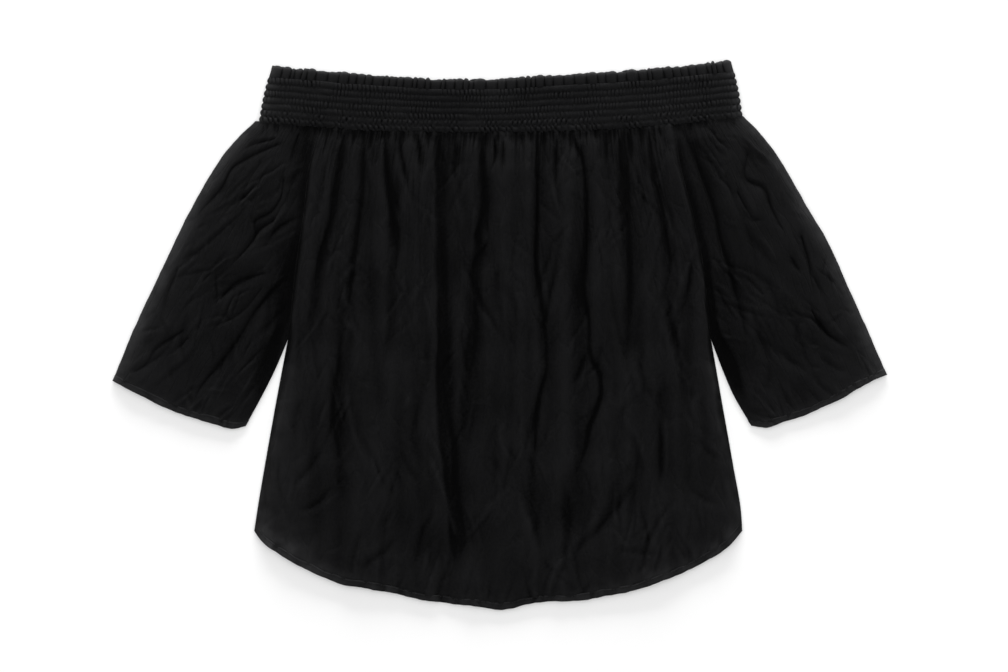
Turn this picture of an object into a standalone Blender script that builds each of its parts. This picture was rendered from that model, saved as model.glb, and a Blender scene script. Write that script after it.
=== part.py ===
"""An off-shoulder blouse, laid flat on its back with its front up.

Sizes are in metres. The cloth rests on z = 0 and the neck points to +Y. Left and right are
the wearer's, so the left sleeve lies at +X. Points in the tables are in millimetres, x and y
from the middle of the garment, and every table is read through mm().
"""

from collections import namedtuple

import bmesh
import bpy
import numpy as np

COLLECTION = "off_shoulder_blouse"
MILLIMETRE = 0.001

# Walls, gaps and the heights of the middle of each layer.
WALL = 0.0012
BAND_WALL = 0.0016
HEM_WALL = 0.0016
SEAM_GAP = 0.0003
CUFF_GAP = 0.0006
SEAM_FLAT = 0.003
HEM_DEPTH = 0.0065
FRILL_SHARE = 0.22
LOW_LAYER = WALL / 2
LOW_BAND = BAND_WALL / 2
LOW_HEM = HEM_WALL / 2
LOW_FRILL = 0.0008
HIGH_LAYER = WALL + SEAM_GAP + WALL / 2
HIGH_BAND = BAND_WALL + SEAM_GAP + BAND_WALL / 2

# How high the pleats stand, by distance below the band, and how wide their slopes are.
Rise = namedtuple("Rise", "below height")
FRONT_RISES = [
    Rise(0, 0),
    Rise(3, 0),
    Rise(14, 4.5),
    Rise(40, 7.5),
    Rise(130, 6.5),
    Rise(260, 4.5),
    Rise(400, 3),
    Rise(470, 1.2),
]
SLEEVE_RISES = [Rise(0, 0), Rise(3, 0), Rise(18, 4), Rise(60, 6), Rise(200, 5), Rise(330, 1.5)]
SIDE_SLOPE = 0.016
FADE_LENGTH = 0.045
HEM_RISE_START = 0.88
# The lengths of a column and of the hem, as shares, over which the hem's slant is measured.
HEM_TRIAL = 0.1
HEM_STEP = 0.01
LEAST_HEM_SLANT = 0.6

# The neck: its frilled top edge and the foot of its band, at shares of the way across.
NeckLevel = namedtuple("NeckLevel", "share top_y foot_y")
NECK_TOP_ENDS = (-226.5, 232.5)
NECK_FOOT_ENDS = (-239, 241.5)
NECK_LEVELS = [
    NeckLevel(0, 269, 213),
    NeckLevel(0.2, 261, 205.2),
    NeckLevel(0.4, 255.5, 202.7),
    NeckLevel(0.5, 256, 202.5),
    NeckLevel(0.6, 259.5, 203.4),
    NeckLevel(0.8, 265, 208),
    NeckLevel(1, 274.5, 218),
]
# Where the raglan seams meet the foot of the band, as shares of its way across.
RAGLAN_SHARES = (0.124, 0.859)

# The body's two edges: the raglan seams down to the armpits, then the side seams.
BodyLevel = namedtuple("BodyLevel", "y right_x left_x")
RAGLAN_LEVELS = [
    BodyLevel(170, -190, 181),
    BodyLevel(118, -196.5, 194.5),
    BodyLevel(64, -204.5, 205),
    BodyLevel(-3, -211.5, 211.5),
]
SIDE_LEVELS = [
    BodyLevel(-69, -224, 223),
    BodyLevel(-131, -234.5, 233.5),
    BodyLevel(-179, -243, 243),
    BodyLevel(-196, -245.5, 242),
]
# The shirt-tail hem, from the right side seam to the left one.
HemPoint = namedtuple("HemPoint", "x y")
HEM_LINE = [
    HemPoint(-239.5, -204),
    HemPoint(-218.5, -220),
    HemPoint(-188.5, -236),
    HemPoint(-155.5, -249.5),
    HemPoint(-107.5, -257.5),
    HemPoint(-45.5, -268),
    HemPoint(3.5, -275),
    HemPoint(46.5, -266),
    HemPoint(101.5, -262),
    HemPoint(141.5, -253),
    HemPoint(203.5, -226),
    HemPoint(230.5, -209),
]

# The valleys between the front's pleats: x where they leave the band, at the chest and low
# down, the y where they have faded out, their half width and how deep they are cut.
Pleat = namedtuple("Pleat", "neck_x chest_x low_x end_y width deep")
PLEAT_LEVELS = (195, 80, -120)
PLEATS = [
    Pleat(-155.5, -179, -190, 30, 6, 0.75),
    Pleat(-137, -144.5, -150, 60, 5, 0.6),
    Pleat(-115.5, -102.5, -105, 40, 6, 0.8),
    Pleat(-99, -88, -86, 150, 4, 0.75),
    Pleat(-80.5, -78, -74, 160, 4, 0.75),
    Pleat(-61.5, -59.5, -48, -235, 9, 0.9),
    Pleat(-18.5, -21.5, -24, 30, 6, 0.8),
    Pleat(-5.5, -9, -8, 150, 4, 0.6),
    Pleat(36.5, 35.5, 34, -150, 6, 0.8),
    Pleat(57.5, 58, 58, 145, 4, 0.6),
    Pleat(70.5, 86.5, 86.5, -150, 7, 0.9),
    Pleat(120.5, 129.5, 131, 30, 6, 0.65),
    Pleat(149.5, 170.5, 168, 30, 6, 0.8),
]

# A fold of a sleeve's upper layer, as a soft trough from one point to another.
Fold = namedtuple("Fold", "from_x from_y to_x to_y width deep")
Point = namedtuple("Point", "x y")
Side = namedtuple("Side", "name toward shoulder underarm cuff folds")
RIGHT = Side(
    name="right",
    toward=-1,
    shoulder=[
        Point(-243.5, 212.5),
        Point(-262.5, 197),
        Point(-280.5, 176.5),
        Point(-317.5, 107),
        Point(-349.5, 40),
        Point(-386.5, -46),
    ],
    underarm=[Point(-232.5, -45), Point(-253.5, -91)],
    cuff=[Point(-262.5, -93), Point(-304.5, -83), Point(-336.5, -71)],
    folds=[
        Fold(-202.5, 194, -211, 165, 5, 0.6),
        Fold(-216.5, 155, -260.5, 77, 7, 0.5),
        Fold(-267.5, 168, -310.5, 111, 7, 0.4),
        Fold(-219.5, 53, -306.5, -62, 8, 0.7),
        Fold(-323.5, 62, -336.5, 7, 6, 0.4),
    ],
)
LEFT = Side(
    name="left",
    toward=1,
    shoulder=[
        Point(243.5, 217.5),
        Point(267.5, 194),
        Point(284.5, 170),
        Point(313, 116),
        Point(339, 68),
        Point(386.5, -38),
    ],
    underarm=[Point(232.5, -47), Point(254.5, -91)],
    cuff=[Point(280.5, -89), Point(306.5, -79), Point(334.5, -66)],
    folds=[
        Fold(183.5, 201, 220.5, 94, 6, 0.6),
        Fold(220.5, 94, 246.5, -3, 6, 0.5),
        Fold(248.5, 179, 283.5, 105, 6, 0.4),
        Fold(307.5, 96, 337.5, 12, 7, 0.5),
    ],
)

# The frill's ruffles, and the swells between the band's elastic rows.
RUFFLES = 33
RUFFLE_HEIGHT = 0.0016
RUFFLE_SCALLOP = 0.0012
BAND_SWELLS = 4
BAND_SWELL_HEIGHT = 0.0009

# How finely each piece is divided.
STEPS_PER_PLEAT = 3
RAGLAN_STATIONS = (0, 3, 9, 20, 36, 60, 90, 125, 165)
BODY_ROWS_BELOW_ARMPIT = 7
SLEEVE_ROWS_BELOW_ARMPIT = 5
UNDERARM_SEAM_START = 0.07
WELD = 0.00001
BACK_COLUMNS = 24
SLEEVE_COLUMNS = 11
BAND_COLUMNS = 24

Cloth = namedtuple("Cloth", "colour roughness")
BODY_CLOTH = Cloth((0.007, 0.007, 0.0075, 1), 0.85)
BAND_CLOTH = Cloth((0.006, 0.006, 0.0065, 1), 0.8)
HEM_CLOTH = Cloth((0.009, 0.009, 0.0095, 1), 0.85)


def mm(values):
    """Millimetres from a table, as an array of metres."""
    return np.array(values, float) * MILLIMETRE


def smoothstep(value):
    """0 below 0, 1 above 1, and a soft slope between."""
    value = np.clip(value, 0, 1)
    return value * value * (3 - 2 * value)


def smooth_curve(points):
    """A curve through points in plan, by distance along it: 0 at the first, 1 at the last."""
    points = np.array(points, float)
    steps = np.hypot(*np.diff(points, axis=0).T)
    along = np.concatenate([[0], np.cumsum(steps)]) / steps.sum()
    slopes = np.gradient(points, along, axis=0)

    def at(share):
        start = min(max(int(np.searchsorted(along, share)) - 1, 0), len(along) - 2)
        length = along[start + 1] - along[start]
        t = (share - along[start]) / length
        ahead = t * t * (3 - 2 * t)
        leaving = t * (1 - t) ** 2 * length
        arriving = t * t * (t - 1) * length
        place = (1 - ahead) * points[start] + ahead * points[start + 1]
        return place + leaving * slopes[start] + arriving * slopes[start + 1]

    return at


def joined(upper, lower, bend):
    """Two curves end to end, as one whose share is bend where they meet."""

    def at(share):
        if share <= bend:
            return upper(share / bend)
        return lower((share - bend) / (1 - bend))

    return at


def moved(curve, x=0.0, y=0.0):
    """The same curve, moved in plan."""
    return lambda share: curve(share) + np.array([x, y])


def patch(top, foot, first, last):
    """The plan of a four-sided piece: its point at shares across and down between its edges."""

    def at(across, down):
        between_ends = (1 - down) * top(across) + down * foot(across)
        between_sides = (1 - across) * first(down) + across * last(down)
        low_corners = (1 - across) * foot(0) + across * foot(1)
        high_corners = (1 - across) * top(0) + across * top(1)
        return between_ends + between_sides - (1 - down) * high_corners - down * low_corners

    return at


def neck_line(ends, heights):
    """A line across the neck, between two ends in x, with its y from one column of the table."""
    shares = [level.share for level in NECK_LEVELS]
    across = np.interp(shares, [0, 1], ends)
    return smooth_curve(mm(list(zip(across, heights))))


NECK_TOP = neck_line(NECK_TOP_ENDS, [level.top_y for level in NECK_LEVELS])
NECK_FOOT = neck_line(NECK_FOOT_ENDS, [level.foot_y for level in NECK_LEVELS])


def foot_between(start, end):
    """The stretch of the band's foot between two shares of it, a half gap below the band."""
    return lambda share: NECK_FOOT(start + (end - start) * share) - np.array([0, SEAM_GAP / 2])


def raglan_points(side):
    """The raglan seam of one side, from the foot of the band to the armpit."""
    top = NECK_FOOT(RAGLAN_SHARES[0 if side.toward < 0 else 1])
    column = "right_x" if side.toward < 0 else "left_x"
    below = [mm((getattr(level, column), level.y)) for level in RAGLAN_LEVELS]
    return [top - np.array([0, SEAM_GAP / 2]), *below]


def side_points(side):
    """The side seam from the armpit down to the hem's corner."""
    column = "right_x" if side.toward < 0 else "left_x"
    levels = [RAGLAN_LEVELS[-1], *SIDE_LEVELS]
    return [mm((getattr(level, column), level.y)) for level in levels]


def underarm_points(side):
    """The sleeve's own seam from the armpit down to the cuff."""
    return [raglan_points(side)[-1], *mm(side.underarm)]


def length_of(points):
    """The length of a line through points."""
    return np.hypot(*np.diff(np.array(points), axis=0).T).sum()


def armpit_share(side, below):
    """How far down an edge its raglan seam ends, when the seam through below goes on from it."""
    raglan = length_of(raglan_points(side))
    return raglan / (raglan + length_of(below))


def raglan_and(side, below, bend):
    """The edge that runs down the raglan seam and then along the seam through below."""
    return joined(smooth_curve(raglan_points(side)), smooth_curve(below), bend)


BODY_ARMPIT = armpit_share(RIGHT, side_points(RIGHT))


def body_plan():
    """The plan that the front and the back share, from the band to the outer edge of the hem."""
    hem = smooth_curve([side_points(RIGHT)[-1], *mm(HEM_LINE), side_points(LEFT)[-1]])
    half_gap = SEAM_GAP / 2
    return patch(
        lambda share: foot_between(*RAGLAN_SHARES)(share) + np.array([half_gap * (1 - 2 * share), 0]),
        lambda share: hem(share) + np.array([half_gap * (1 - 2 * share), 0]),
        moved(raglan_and(RIGHT, side_points(RIGHT), BODY_ARMPIT), x=half_gap),
        moved(raglan_and(LEFT, side_points(LEFT), BODY_ARMPIT), x=-half_gap),
    )


def body_edge(side, y):
    """The x of the body's edge on one side at a height y."""
    points = np.array(raglan_points(side) + side_points(side)[1:])[::-1]
    return np.interp(y, points[:, 1], points[:, 0])


def sleeve_plan(side):
    """One sleeve's plan: across from the raglan and underarm seam to the shoulder fold."""
    armpit = armpit_share(side, underarm_points(side))
    inner = raglan_and(side, underarm_points(side), armpit)
    inner = moved(inner, x=side.toward * SEAM_GAP / 2)
    outer = smooth_curve(mm(side.shoulder))
    cuff = smooth_curve([inner(1), *mm(side.cuff), outer(1)])
    seam = (RAGLAN_SHARES[0], 0) if side.toward < 0 else (RAGLAN_SHARES[1], 1)
    band = foot_between(*seam)

    def top(share):
        ends_moved = (1 - share) * (inner(0) - band(0)) + share * (outer(0) - band(1))
        return band(share) + ends_moved

    return patch(top, cuff, inner, outer)


def stations(armpit, rows_below):
    """Shares down a piece for its rows: the raglan's, which its neighbour shares, and the rest."""
    raglan = mm(RAGLAN_STATIONS) / length_of(raglan_points(RIGHT)) * armpit
    return [*raglan, *np.linspace(armpit, 1, rows_below + 1)]


def underarm_stations(armpit):
    """The sleeve's rows, with an early one below the armpit where its underarm seam starts."""
    levels = stations(armpit, SLEEVE_ROWS_BELOW_ARMPIT - 1)
    early = armpit + UNDERARM_SEAM_START * (1 - armpit)
    return sorted([*levels, early])


def shortened(station, armpit, end):
    """A station moved up so that the last one lies at end, with the raglan's left in place."""
    return station if station <= armpit else armpit + (station - armpit) * (end - armpit) / (1 - armpit)


def rise_at(rises, below):
    """How high cloth stands at a distance below the band."""
    table = mm(rises)
    return np.interp(below, table[:, 0], table[:, 1])


def below_band(place):
    """How far a point lies below the foot of the band."""
    ends = mm(NECK_FOOT_ENDS)
    share = np.clip((place[0] - ends[0]) / (ends[1] - ends[0]), 0, 1)
    return max(NECK_FOOT(share)[1] - place[1], 0)


def pleat_x(pleat, y):
    """Where a pleat's valley runs at a height y."""
    levels = mm(PLEAT_LEVELS[::-1])
    return np.interp(y, levels, mm((pleat.low_x, pleat.chest_x, pleat.neck_x)))


def front_lift(place):
    """How high the front's pleats stand above its flat edges."""
    x, y = place
    inset = min(x - body_edge(RIGHT, y), body_edge(LEFT, y) - x)
    lift = rise_at(FRONT_RISES, below_band(place)) * smoothstep((inset - SEAM_FLAT) / SIDE_SLOPE)
    for pleat in PLEATS:
        fade = smoothstep((y - mm(pleat.end_y)) / FADE_LENGTH)
        off = (x - pleat_x(pleat, y)) / mm(pleat.width)
        lift *= 1 - pleat.deep * fade * np.exp(-off * off)
    return lift


def front_height(place, near_hem):
    """The middle of the front panel: it comes up to meet the band and the hem."""
    near_band = 1 - smoothstep(below_band(place) / SIDE_SLOPE)
    join = (HIGH_BAND - HIGH_LAYER) * max(near_band, near_hem)
    return HIGH_LAYER + join + front_lift(place)


def sleeve_height(side, place, inner_inset, outer_inset):
    """The middle of a sleeve's upper layer: flat at its seams, folded between them."""
    below = below_band(place)
    near_band = 1 - smoothstep(below / SIDE_SLOPE)
    lift = rise_at(SLEEVE_RISES, below) * smoothstep((inner_inset - SEAM_FLAT) / SIDE_SLOPE)
    lift *= smoothstep((outer_inset - SEAM_FLAT) / SIDE_SLOPE)
    for fold in side.folds:
        start, end = mm((fold.from_x, fold.from_y)), mm((fold.to_x, fold.to_y))
        run = end - start
        along = np.clip(np.dot(place - start, run) / np.dot(run, run), 0, 1)
        off = np.linalg.norm(place - start - along * run) / mm(fold.width)
        lift *= 1 - fold.deep * np.exp(-off * off)
    return HIGH_LAYER + (HIGH_BAND - HIGH_LAYER) * near_band + lift


def clear_scene():
    """Removes what a new file starts with."""
    for item in list(bpy.data.objects):
        bpy.data.objects.remove(item)


def cloth_material(name, cloth):
    """A plain finish of a piece's own."""
    material = bpy.data.materials.new(name)
    material.use_nodes = True
    shader = material.node_tree.nodes["Principled BSDF"]
    shader.inputs["Base Color"].default_value = cloth.colour
    shader.inputs["Roughness"].default_value = cloth.roughness
    shader.inputs["Metallic"].default_value = 0
    return material


def unit_grid(columns, rows):
    """A grid of faces, and its points by column and row."""
    sheet = bmesh.new()
    bmesh.ops.create_grid(sheet, x_segments=columns, y_segments=rows, size=0.5)
    points = {}
    for vert in sheet.verts:
        column = round((vert.co.x + 0.5) * columns)
        row = round((vert.co.y + 0.5) * rows)
        points[column, row] = vert
    return sheet, points


def add_piece(name, sheet, wall, cloth):
    """Makes a piece from its middle surface, with the wall's thickness half to each side."""
    mesh = bpy.data.meshes.new(name)
    sheet.to_mesh(mesh)
    sheet.free()
    piece = bpy.data.objects.new(name, mesh)
    bpy.data.collections[COLLECTION].objects.link(piece)
    piece.parent = bpy.data.objects[COLLECTION + "_origin"]
    mesh.materials.append(cloth_material(name + "_cloth", cloth))
    mesh.shade_smooth()
    thickness = piece.modifiers.new("wall", "SOLIDIFY")
    thickness.thickness = wall
    thickness.offset = 0
    thickness.solidify_mode = "NON_MANIFOLD"
    thickness.nonmanifold_thickness_mode = "CONSTRAINTS"
    thickness.nonmanifold_boundary_mode = "NONE"
    thickness.nonmanifold_merge_threshold = WELD
    return piece


def add_panel(name, wall, cloth, columns, rows, place):
    """A single layer of cloth, where place(column, row) gives each point of its middle."""
    sheet, points = unit_grid(columns, rows)
    for (column, row), vert in points.items():
        vert.co = place(column, row)
    return add_piece(name, sheet, wall, cloth)


def add_flat_tube(name, wall, cloth, columns, rows, place, closed_from=0):
    """A tube pressed flat: a low layer, a fold at its far edge, and a high layer back again.

    place(column, row, high) gives each point of its middle. From row closed_from down, the
    near edge is closed too. Above that row it stays open, as at an armhole.
    """
    sheet, points = unit_grid(2 * columns + 1, rows)
    for (step, row), vert in points.items():
        high = step > columns
        column = 2 * columns + 1 - step if high else step
        vert.co = place(column, row, high)
    low_edge = [points[0, row] for row in range(closed_from, rows + 1)]
    high_edge = [points[2 * columns + 1, row] for row in range(closed_from, rows + 1)]
    seam = [
        sheet.edges.get((upper, lower))
        for edge in (low_edge, high_edge)
        for upper, lower in zip(edge, edge[1:])
    ]
    bmesh.ops.bridge_loops(sheet, edges=seam)
    return add_piece(name, sheet, wall, cloth)


def front_columns(plan, down):
    """Shares across the front at one depth: its edges, each valley, and steps between them."""
    middle = plan(0.5, down)
    right, left = body_edge(RIGHT, middle[1]), body_edge(LEFT, middle[1])
    lines = [0, *((pleat_x(pleat, middle[1]) - right) / (left - right) for pleat in PLEATS), 1]
    shares = np.interp(
        np.arange(STEPS_PER_PLEAT * (len(lines) - 1) + 1) / STEPS_PER_PLEAT,
        np.arange(len(lines)),
        lines,
    )
    flat = SEAM_FLAT / (left - right)
    return [0, flat, *shares[1:-1], 1 - flat, 1]


def hem_share(plan, across, depth):
    """How far down a column of the body the hem starts, when it is depth deep square to it."""
    column = plan(across, 1) - plan(across, 1 - HEM_TRIAL)
    beside = plan(min(across + HEM_STEP, 1), 1) - plan(max(across - HEM_STEP, 0), 1)
    turned = abs(column[0] * beside[1] - column[1] * beside[0])
    slant = turned / (np.linalg.norm(column) * np.linalg.norm(beside))
    return 1 - HEM_TRIAL * depth / (max(slant, LEAST_HEM_SLANT) * np.linalg.norm(column))


def make_front(plan):
    """The gathered front panel and the turned hem below it."""
    levels = stations(BODY_ARMPIT, BODY_ROWS_BELOW_ARMPIT)
    shares = [front_columns(plan, level) for level in levels]
    shares.append(shares[-1])
    columns = len(shares[0]) - 1

    def raised(across, down, level):
        """A point of the front, whose last strip above the hem is as flat as its other seams."""
        flat_from = hem_share(plan, across, HEM_DEPTH + SEAM_GAP + SEAM_FLAT)
        near_hem = smoothstep((level - HEM_RISE_START) / (1 - HEM_RISE_START))
        return (*plan(across, down), front_height(plan(across, min(down, flat_from)), near_hem))

    def panel_point(column, row):
        across = shares[row][column]
        if row == len(levels):
            return raised(across, hem_share(plan, across, HEM_DEPTH + SEAM_GAP), 1)
        flat_from = hem_share(plan, across, HEM_DEPTH + SEAM_GAP + SEAM_FLAT)
        return raised(across, shortened(levels[row], BODY_ARMPIT, flat_from), levels[row])

    def hem_point(column, row):
        across = shares[-1][column]
        return raised(across, (hem_share(plan, across, HEM_DEPTH), 1)[row], 1)

    add_panel("body_front", WALL, BODY_CLOTH, columns, len(levels), panel_point)
    add_panel("hem_front", HEM_WALL, HEM_CLOTH, columns, 1, hem_point)


def make_back(plan):
    """The back panel and its hem, flat on the surface."""
    levels = stations(BODY_ARMPIT, BODY_ROWS_BELOW_ARMPIT)

    def panel_point(column, row):
        across = column / BACK_COLUMNS
        end = hem_share(plan, across, HEM_DEPTH + SEAM_GAP)
        return (*plan(across, shortened(levels[row], BODY_ARMPIT, end)), LOW_LAYER)

    def hem_point(column, row):
        across = column / BACK_COLUMNS
        place = plan(across, (hem_share(plan, across, HEM_DEPTH), 1)[row])
        return (*place, LOW_HEM)

    add_panel("body_back", WALL, BODY_CLOTH, BACK_COLUMNS, len(levels) - 1, panel_point)
    add_panel("hem_back", HEM_WALL, HEM_CLOTH, BACK_COLUMNS, 1, hem_point)


def make_sleeve(side):
    """One sleeve, a flat tube open at its armhole and its cuff, and the cuff's turned hem."""
    plan = sleeve_plan(side)
    armpit = armpit_share(side, underarm_points(side))
    levels = underarm_stations(armpit)
    length = np.linalg.norm(plan(0.5, 1) - plan(0.5, 0))
    hem_top = 1 - HEM_DEPTH / length
    panel_foot = hem_top - CUFF_GAP / length
    flat_from = panel_foot - SEAM_FLAT / length
    edge = 0.5 / SLEEVE_COLUMNS
    shares = [0, edge, *np.linspace(0, 1, SLEEVE_COLUMNS - 1)[1:-1], 1 - edge, 1]

    def layer_point(across, down, level, high, low_middle):
        """A point of the flat lower layer, or of the upper one, whose last strip is flat too."""
        place = plan(across, down)
        if not high:
            return (*place, low_middle)
        row = min(down, flat_from)
        span = np.linalg.norm(plan(1, row) - plan(0, row))
        height = sleeve_height(side, plan(across, row), across * span, (1 - across) * span)
        near_cuff = smoothstep((level - HEM_RISE_START) / (1 - HEM_RISE_START))
        return (*place, height + (HIGH_BAND - HIGH_LAYER) * near_cuff)

    def tube_point(column, row, high):
        if row == len(levels):
            return layer_point(shares[column], panel_foot, 1, high, LOW_LAYER)
        down = shortened(levels[row], armpit, flat_from)
        return layer_point(shares[column], down, levels[row], high, LOW_LAYER)

    def cuff_point(column, row, high):
        return layer_point(shares[column], (hem_top, 1)[row], 1, high, LOW_HEM)

    seam_row = len(RAGLAN_STATIONS) + 1
    columns = len(shares) - 1
    sleeve_name, cuff_name = "sleeve_" + side.name, "cuff_" + side.name
    add_flat_tube(sleeve_name, WALL, BODY_CLOTH, columns, len(levels), tube_point, seam_row)
    add_flat_tube(cuff_name, HEM_WALL, HEM_CLOTH, columns, 1, cuff_point)


def make_neck():
    """The elastic band and the frill above it, two flat rings."""
    plan = patch(
        NECK_TOP,
        moved(NECK_FOOT, y=SEAM_GAP / 2),
        lambda share: (1 - share) * NECK_TOP(0) + share * NECK_FOOT(0),
        lambda share: (1 - share) * NECK_TOP(1) + share * NECK_FOOT(1),
    )
    depth = np.linalg.norm(plan(0.5, 1) - plan(0.5, 0))
    flat = SEAM_FLAT / depth
    swells = np.linspace(FRILL_SHARE + flat, 1 - flat, 2 * BAND_SWELLS + 1)
    band_levels = [FRILL_SHARE, *swells, 1]
    frill_foot = FRILL_SHARE - SEAM_GAP / depth
    frill_levels = [0, (frill_foot - flat) / 2, frill_foot - flat, frill_foot]
    frill_columns = 2 * RUFFLES

    def band_point(column, row, high):
        place = plan(column / BAND_COLUMNS, band_levels[row])
        swollen = row % 2 == 0 and 0 < row < len(band_levels) - 1
        return (*place, HIGH_BAND + BAND_SWELL_HEIGHT * swollen if high else LOW_BAND)

    def frill_point(column, row, high):
        ruffle = column % 2 if 0 < column < frill_columns else 0
        free = max(1 - row / 2, 0)
        place = plan(column / frill_columns, frill_levels[row])
        height = (HIGH_BAND if high else LOW_FRILL) + RUFFLE_HEIGHT * ruffle * free
        return (place[0], place[1] + RUFFLE_SCALLOP * ruffle * free, height)

    band_rows, frill_rows = len(band_levels) - 1, len(frill_levels) - 1
    add_flat_tube("neck_band", BAND_WALL, BAND_CLOTH, BAND_COLUMNS, band_rows, band_point)
    add_flat_tube("neck_frill", WALL, BAND_CLOTH, frill_columns, frill_rows, frill_point)


def main():
    clear_scene()
    collection = bpy.data.collections.new(COLLECTION)
    bpy.context.scene.collection.children.link(collection)
    collection.objects.link(bpy.data.objects.new(COLLECTION + "_origin", None))
    plan = body_plan()
    make_back(plan)
    make_front(plan)
    for side in (RIGHT, LEFT):
        make_sleeve(side)
    make_neck()


main()
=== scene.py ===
"""An off-shoulder blouse laid flat on its back, with its cloth, its finish and a plain studio.

Every piece of cloth starts as a flat grid. A plan gives each point of the grid its place on
the table, and the pleats, creases and crinkles give its height. The tables of the plan, of
the valleys, gathers and creases and of the puffs are in millimetres, x and y from the middle
of the garment, and so is all else that mm() and ramp() read. The rest is in metres. Left and
right are the wearer's, so the left sleeve lies at +X.
"""

import math
from collections import namedtuple

import bmesh
import bpy
import numpy as np
from mathutils import Matrix, Vector


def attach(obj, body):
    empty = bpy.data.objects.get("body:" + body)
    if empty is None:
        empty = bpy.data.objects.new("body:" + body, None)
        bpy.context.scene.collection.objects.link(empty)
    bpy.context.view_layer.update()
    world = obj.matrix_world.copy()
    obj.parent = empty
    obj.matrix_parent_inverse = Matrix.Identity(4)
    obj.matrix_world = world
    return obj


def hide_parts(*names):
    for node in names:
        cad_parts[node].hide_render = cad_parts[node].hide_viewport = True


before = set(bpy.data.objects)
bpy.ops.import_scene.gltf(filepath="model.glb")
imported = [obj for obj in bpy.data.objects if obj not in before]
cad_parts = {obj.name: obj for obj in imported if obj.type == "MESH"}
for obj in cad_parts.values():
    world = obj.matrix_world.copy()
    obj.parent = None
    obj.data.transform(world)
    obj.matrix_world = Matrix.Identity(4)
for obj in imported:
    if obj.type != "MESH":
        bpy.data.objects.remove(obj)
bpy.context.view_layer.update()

MILLIMETRE = 0.001

# Thicknesses: one layer of cloth, the shirred band, and a hem turned twice.
CLOTH = 0.0005
BAND_CLOTH = 0.0008
HEM_CLOTH = 0.0008
# The depth of the hems, how far a panel runs in under its band or hem, and the gap that the
# back leaves to its hem instead. Then how far down the neck the frill reaches.
HEM_DEPTH = 0.0065
LAP = 0.0012
LAY = 0.0003
FRILL_SHARE = 0.195
# The step by which a hem's direction is felt, and the least slant that counts at its ends.
TRIAL = 0.02
LEAST_SLANT = 0.6
# The cut of what shows of each piece, all round on a tube: its width and its length.
PANEL_CUT = (0.50, 0.48)
SLEEVE_CUT = (0.36, 0.32)
BAND_CUT = (1.40, 0.046)
FRILL_CUT = (1.40, 0.012)

# Heights above the table of the middles of the layers.
LOW = CLOTH / 2
LOW_BAND = 0.00075
LOW_HEM = HEM_CLOTH / 2
SIDE_SEAM = LOW + CLOTH + 0.0001
ARMHOLE = 0.0013
BAND_FOOT = 0.0021
BAND_HIGH = 0.0030
FRILL_HIGH = BAND_HIGH - 0.0012
HEM_HIGH = LOW_HEM + HEM_CLOTH + 0.0002
HEM_OVER_CLOTH = (HEM_CLOTH - CLOTH) / 2 + 0.00005
TABLE_DROP = 0.0001
# How far out a fold at the edge of a flat tube is rounded.
FOLD_ROUND = 0.0013

# Points of a grid nearer than this are the same.
SAME = 1e-5
# How finely the pieces are divided: columns and rows of a panel. A tube's columns are those
# of its low layer, of the fold beside it and of its high layer.
FRONT_GRID = (350, 137)
BACK_GRID = (90, 60)
SLEEVE_COLUMNS = (24, 6, 210)
SLEEVE_ROWS = 185
BAND_COLUMNS = (160, 5, 640)
FRILL_COLUMNS = (200, 5, 760)
FRILL_ROWS = 14
FRONT_HEM_COLUMNS = 360
BACK_HEM_COLUMNS = 160
CUFF_COLUMNS = (60, 6, 150)
HEM_ROWS = 5
# The distance between the points of a line that other points are measured from.
LINE_STEP = 0.003

# How high the pleats stand at distances below the band.
FRONT_RISES = [
    (0, 1.5), (4, 2.8), (12, 5.2), (36, 8.0), (120, 7.8), (250, 6.4), (380, 5), (450, 3.2), (480, 1.4),
]
SLEEVE_RISES = [
    (0, 1.0), (4, 2), (16, 4.4), (60, 6.2), (180, 5.2), (260, 3.2), (310, 1.4), (330, 0.6),
]
# How far the gathers carry the raglan seams up, and from how far in. Then how far in from its
# edges the cloth takes to rise: at the raglan seams, at the side seams, so many times wider on
# the sleeves, and at their shoulder folds, where it has a share of its height.
SEAM_LIFT = 0.0026
SEAM_REACH = 0.028
RAGLAN_SLOPE = 0.0055
SIDE_SLOPE = 0.011
SLEEVE_SEAM_WIDER = 1.7
SHOULDER_SLOPE = 0.014
SHOULDER_SHARE = 0.4
# The least that pleated cloth stands above the layer under it.
LEAST_LIFT = 0.0002
# Where one thing turns into another, from and to, in millimetres below the band: clear of the
# band's foot, out from under it, and loose enough to crease. Then in y: the raglan seams' lift
# begins, and their slope and the armhole's height give way to the side seams'.
CLEAR_OF_BAND = (0, 14)
OUT_OF_BAND = (0, 4)
LOOSE = (3, 33)
LIFT_BEGINS = (20, 110)
SIDE_SLOPE_BEGINS = (20, -20)
ARMHOLE_BEGINS = (-10, 10)

# The neck: its frilled top edge and the foot of its band, at shares of the way across.
NeckLevel = namedtuple("NeckLevel", "share top_y foot_y")
NECK_WIDTH = 0.468
NECK_TOP_ENDS = (-227.5, 231.5)
NECK_FOOT_ENDS = (-240, 242.5)
# How far the two ends of the neck bulge out between those points, and how far down.
NECK_END_BULGE = 1.2
NECK_BULGE_SHARE = 0.6
NECK_LEVELS = [
    NeckLevel(0, 269, 213), NeckLevel(0.2, 261, 205.2), NeckLevel(0.4, 255.5, 202.7),
    NeckLevel(0.5, 256, 202.5), NeckLevel(0.6, 259.5, 203.4), NeckLevel(0.8, 265, 208),
    NeckLevel(1, 274.5, 218),
]
# Where the raglan seams meet the foot of the band, as shares of its way across.
RAGLAN_SHARES = (0.124, 0.859)

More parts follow.
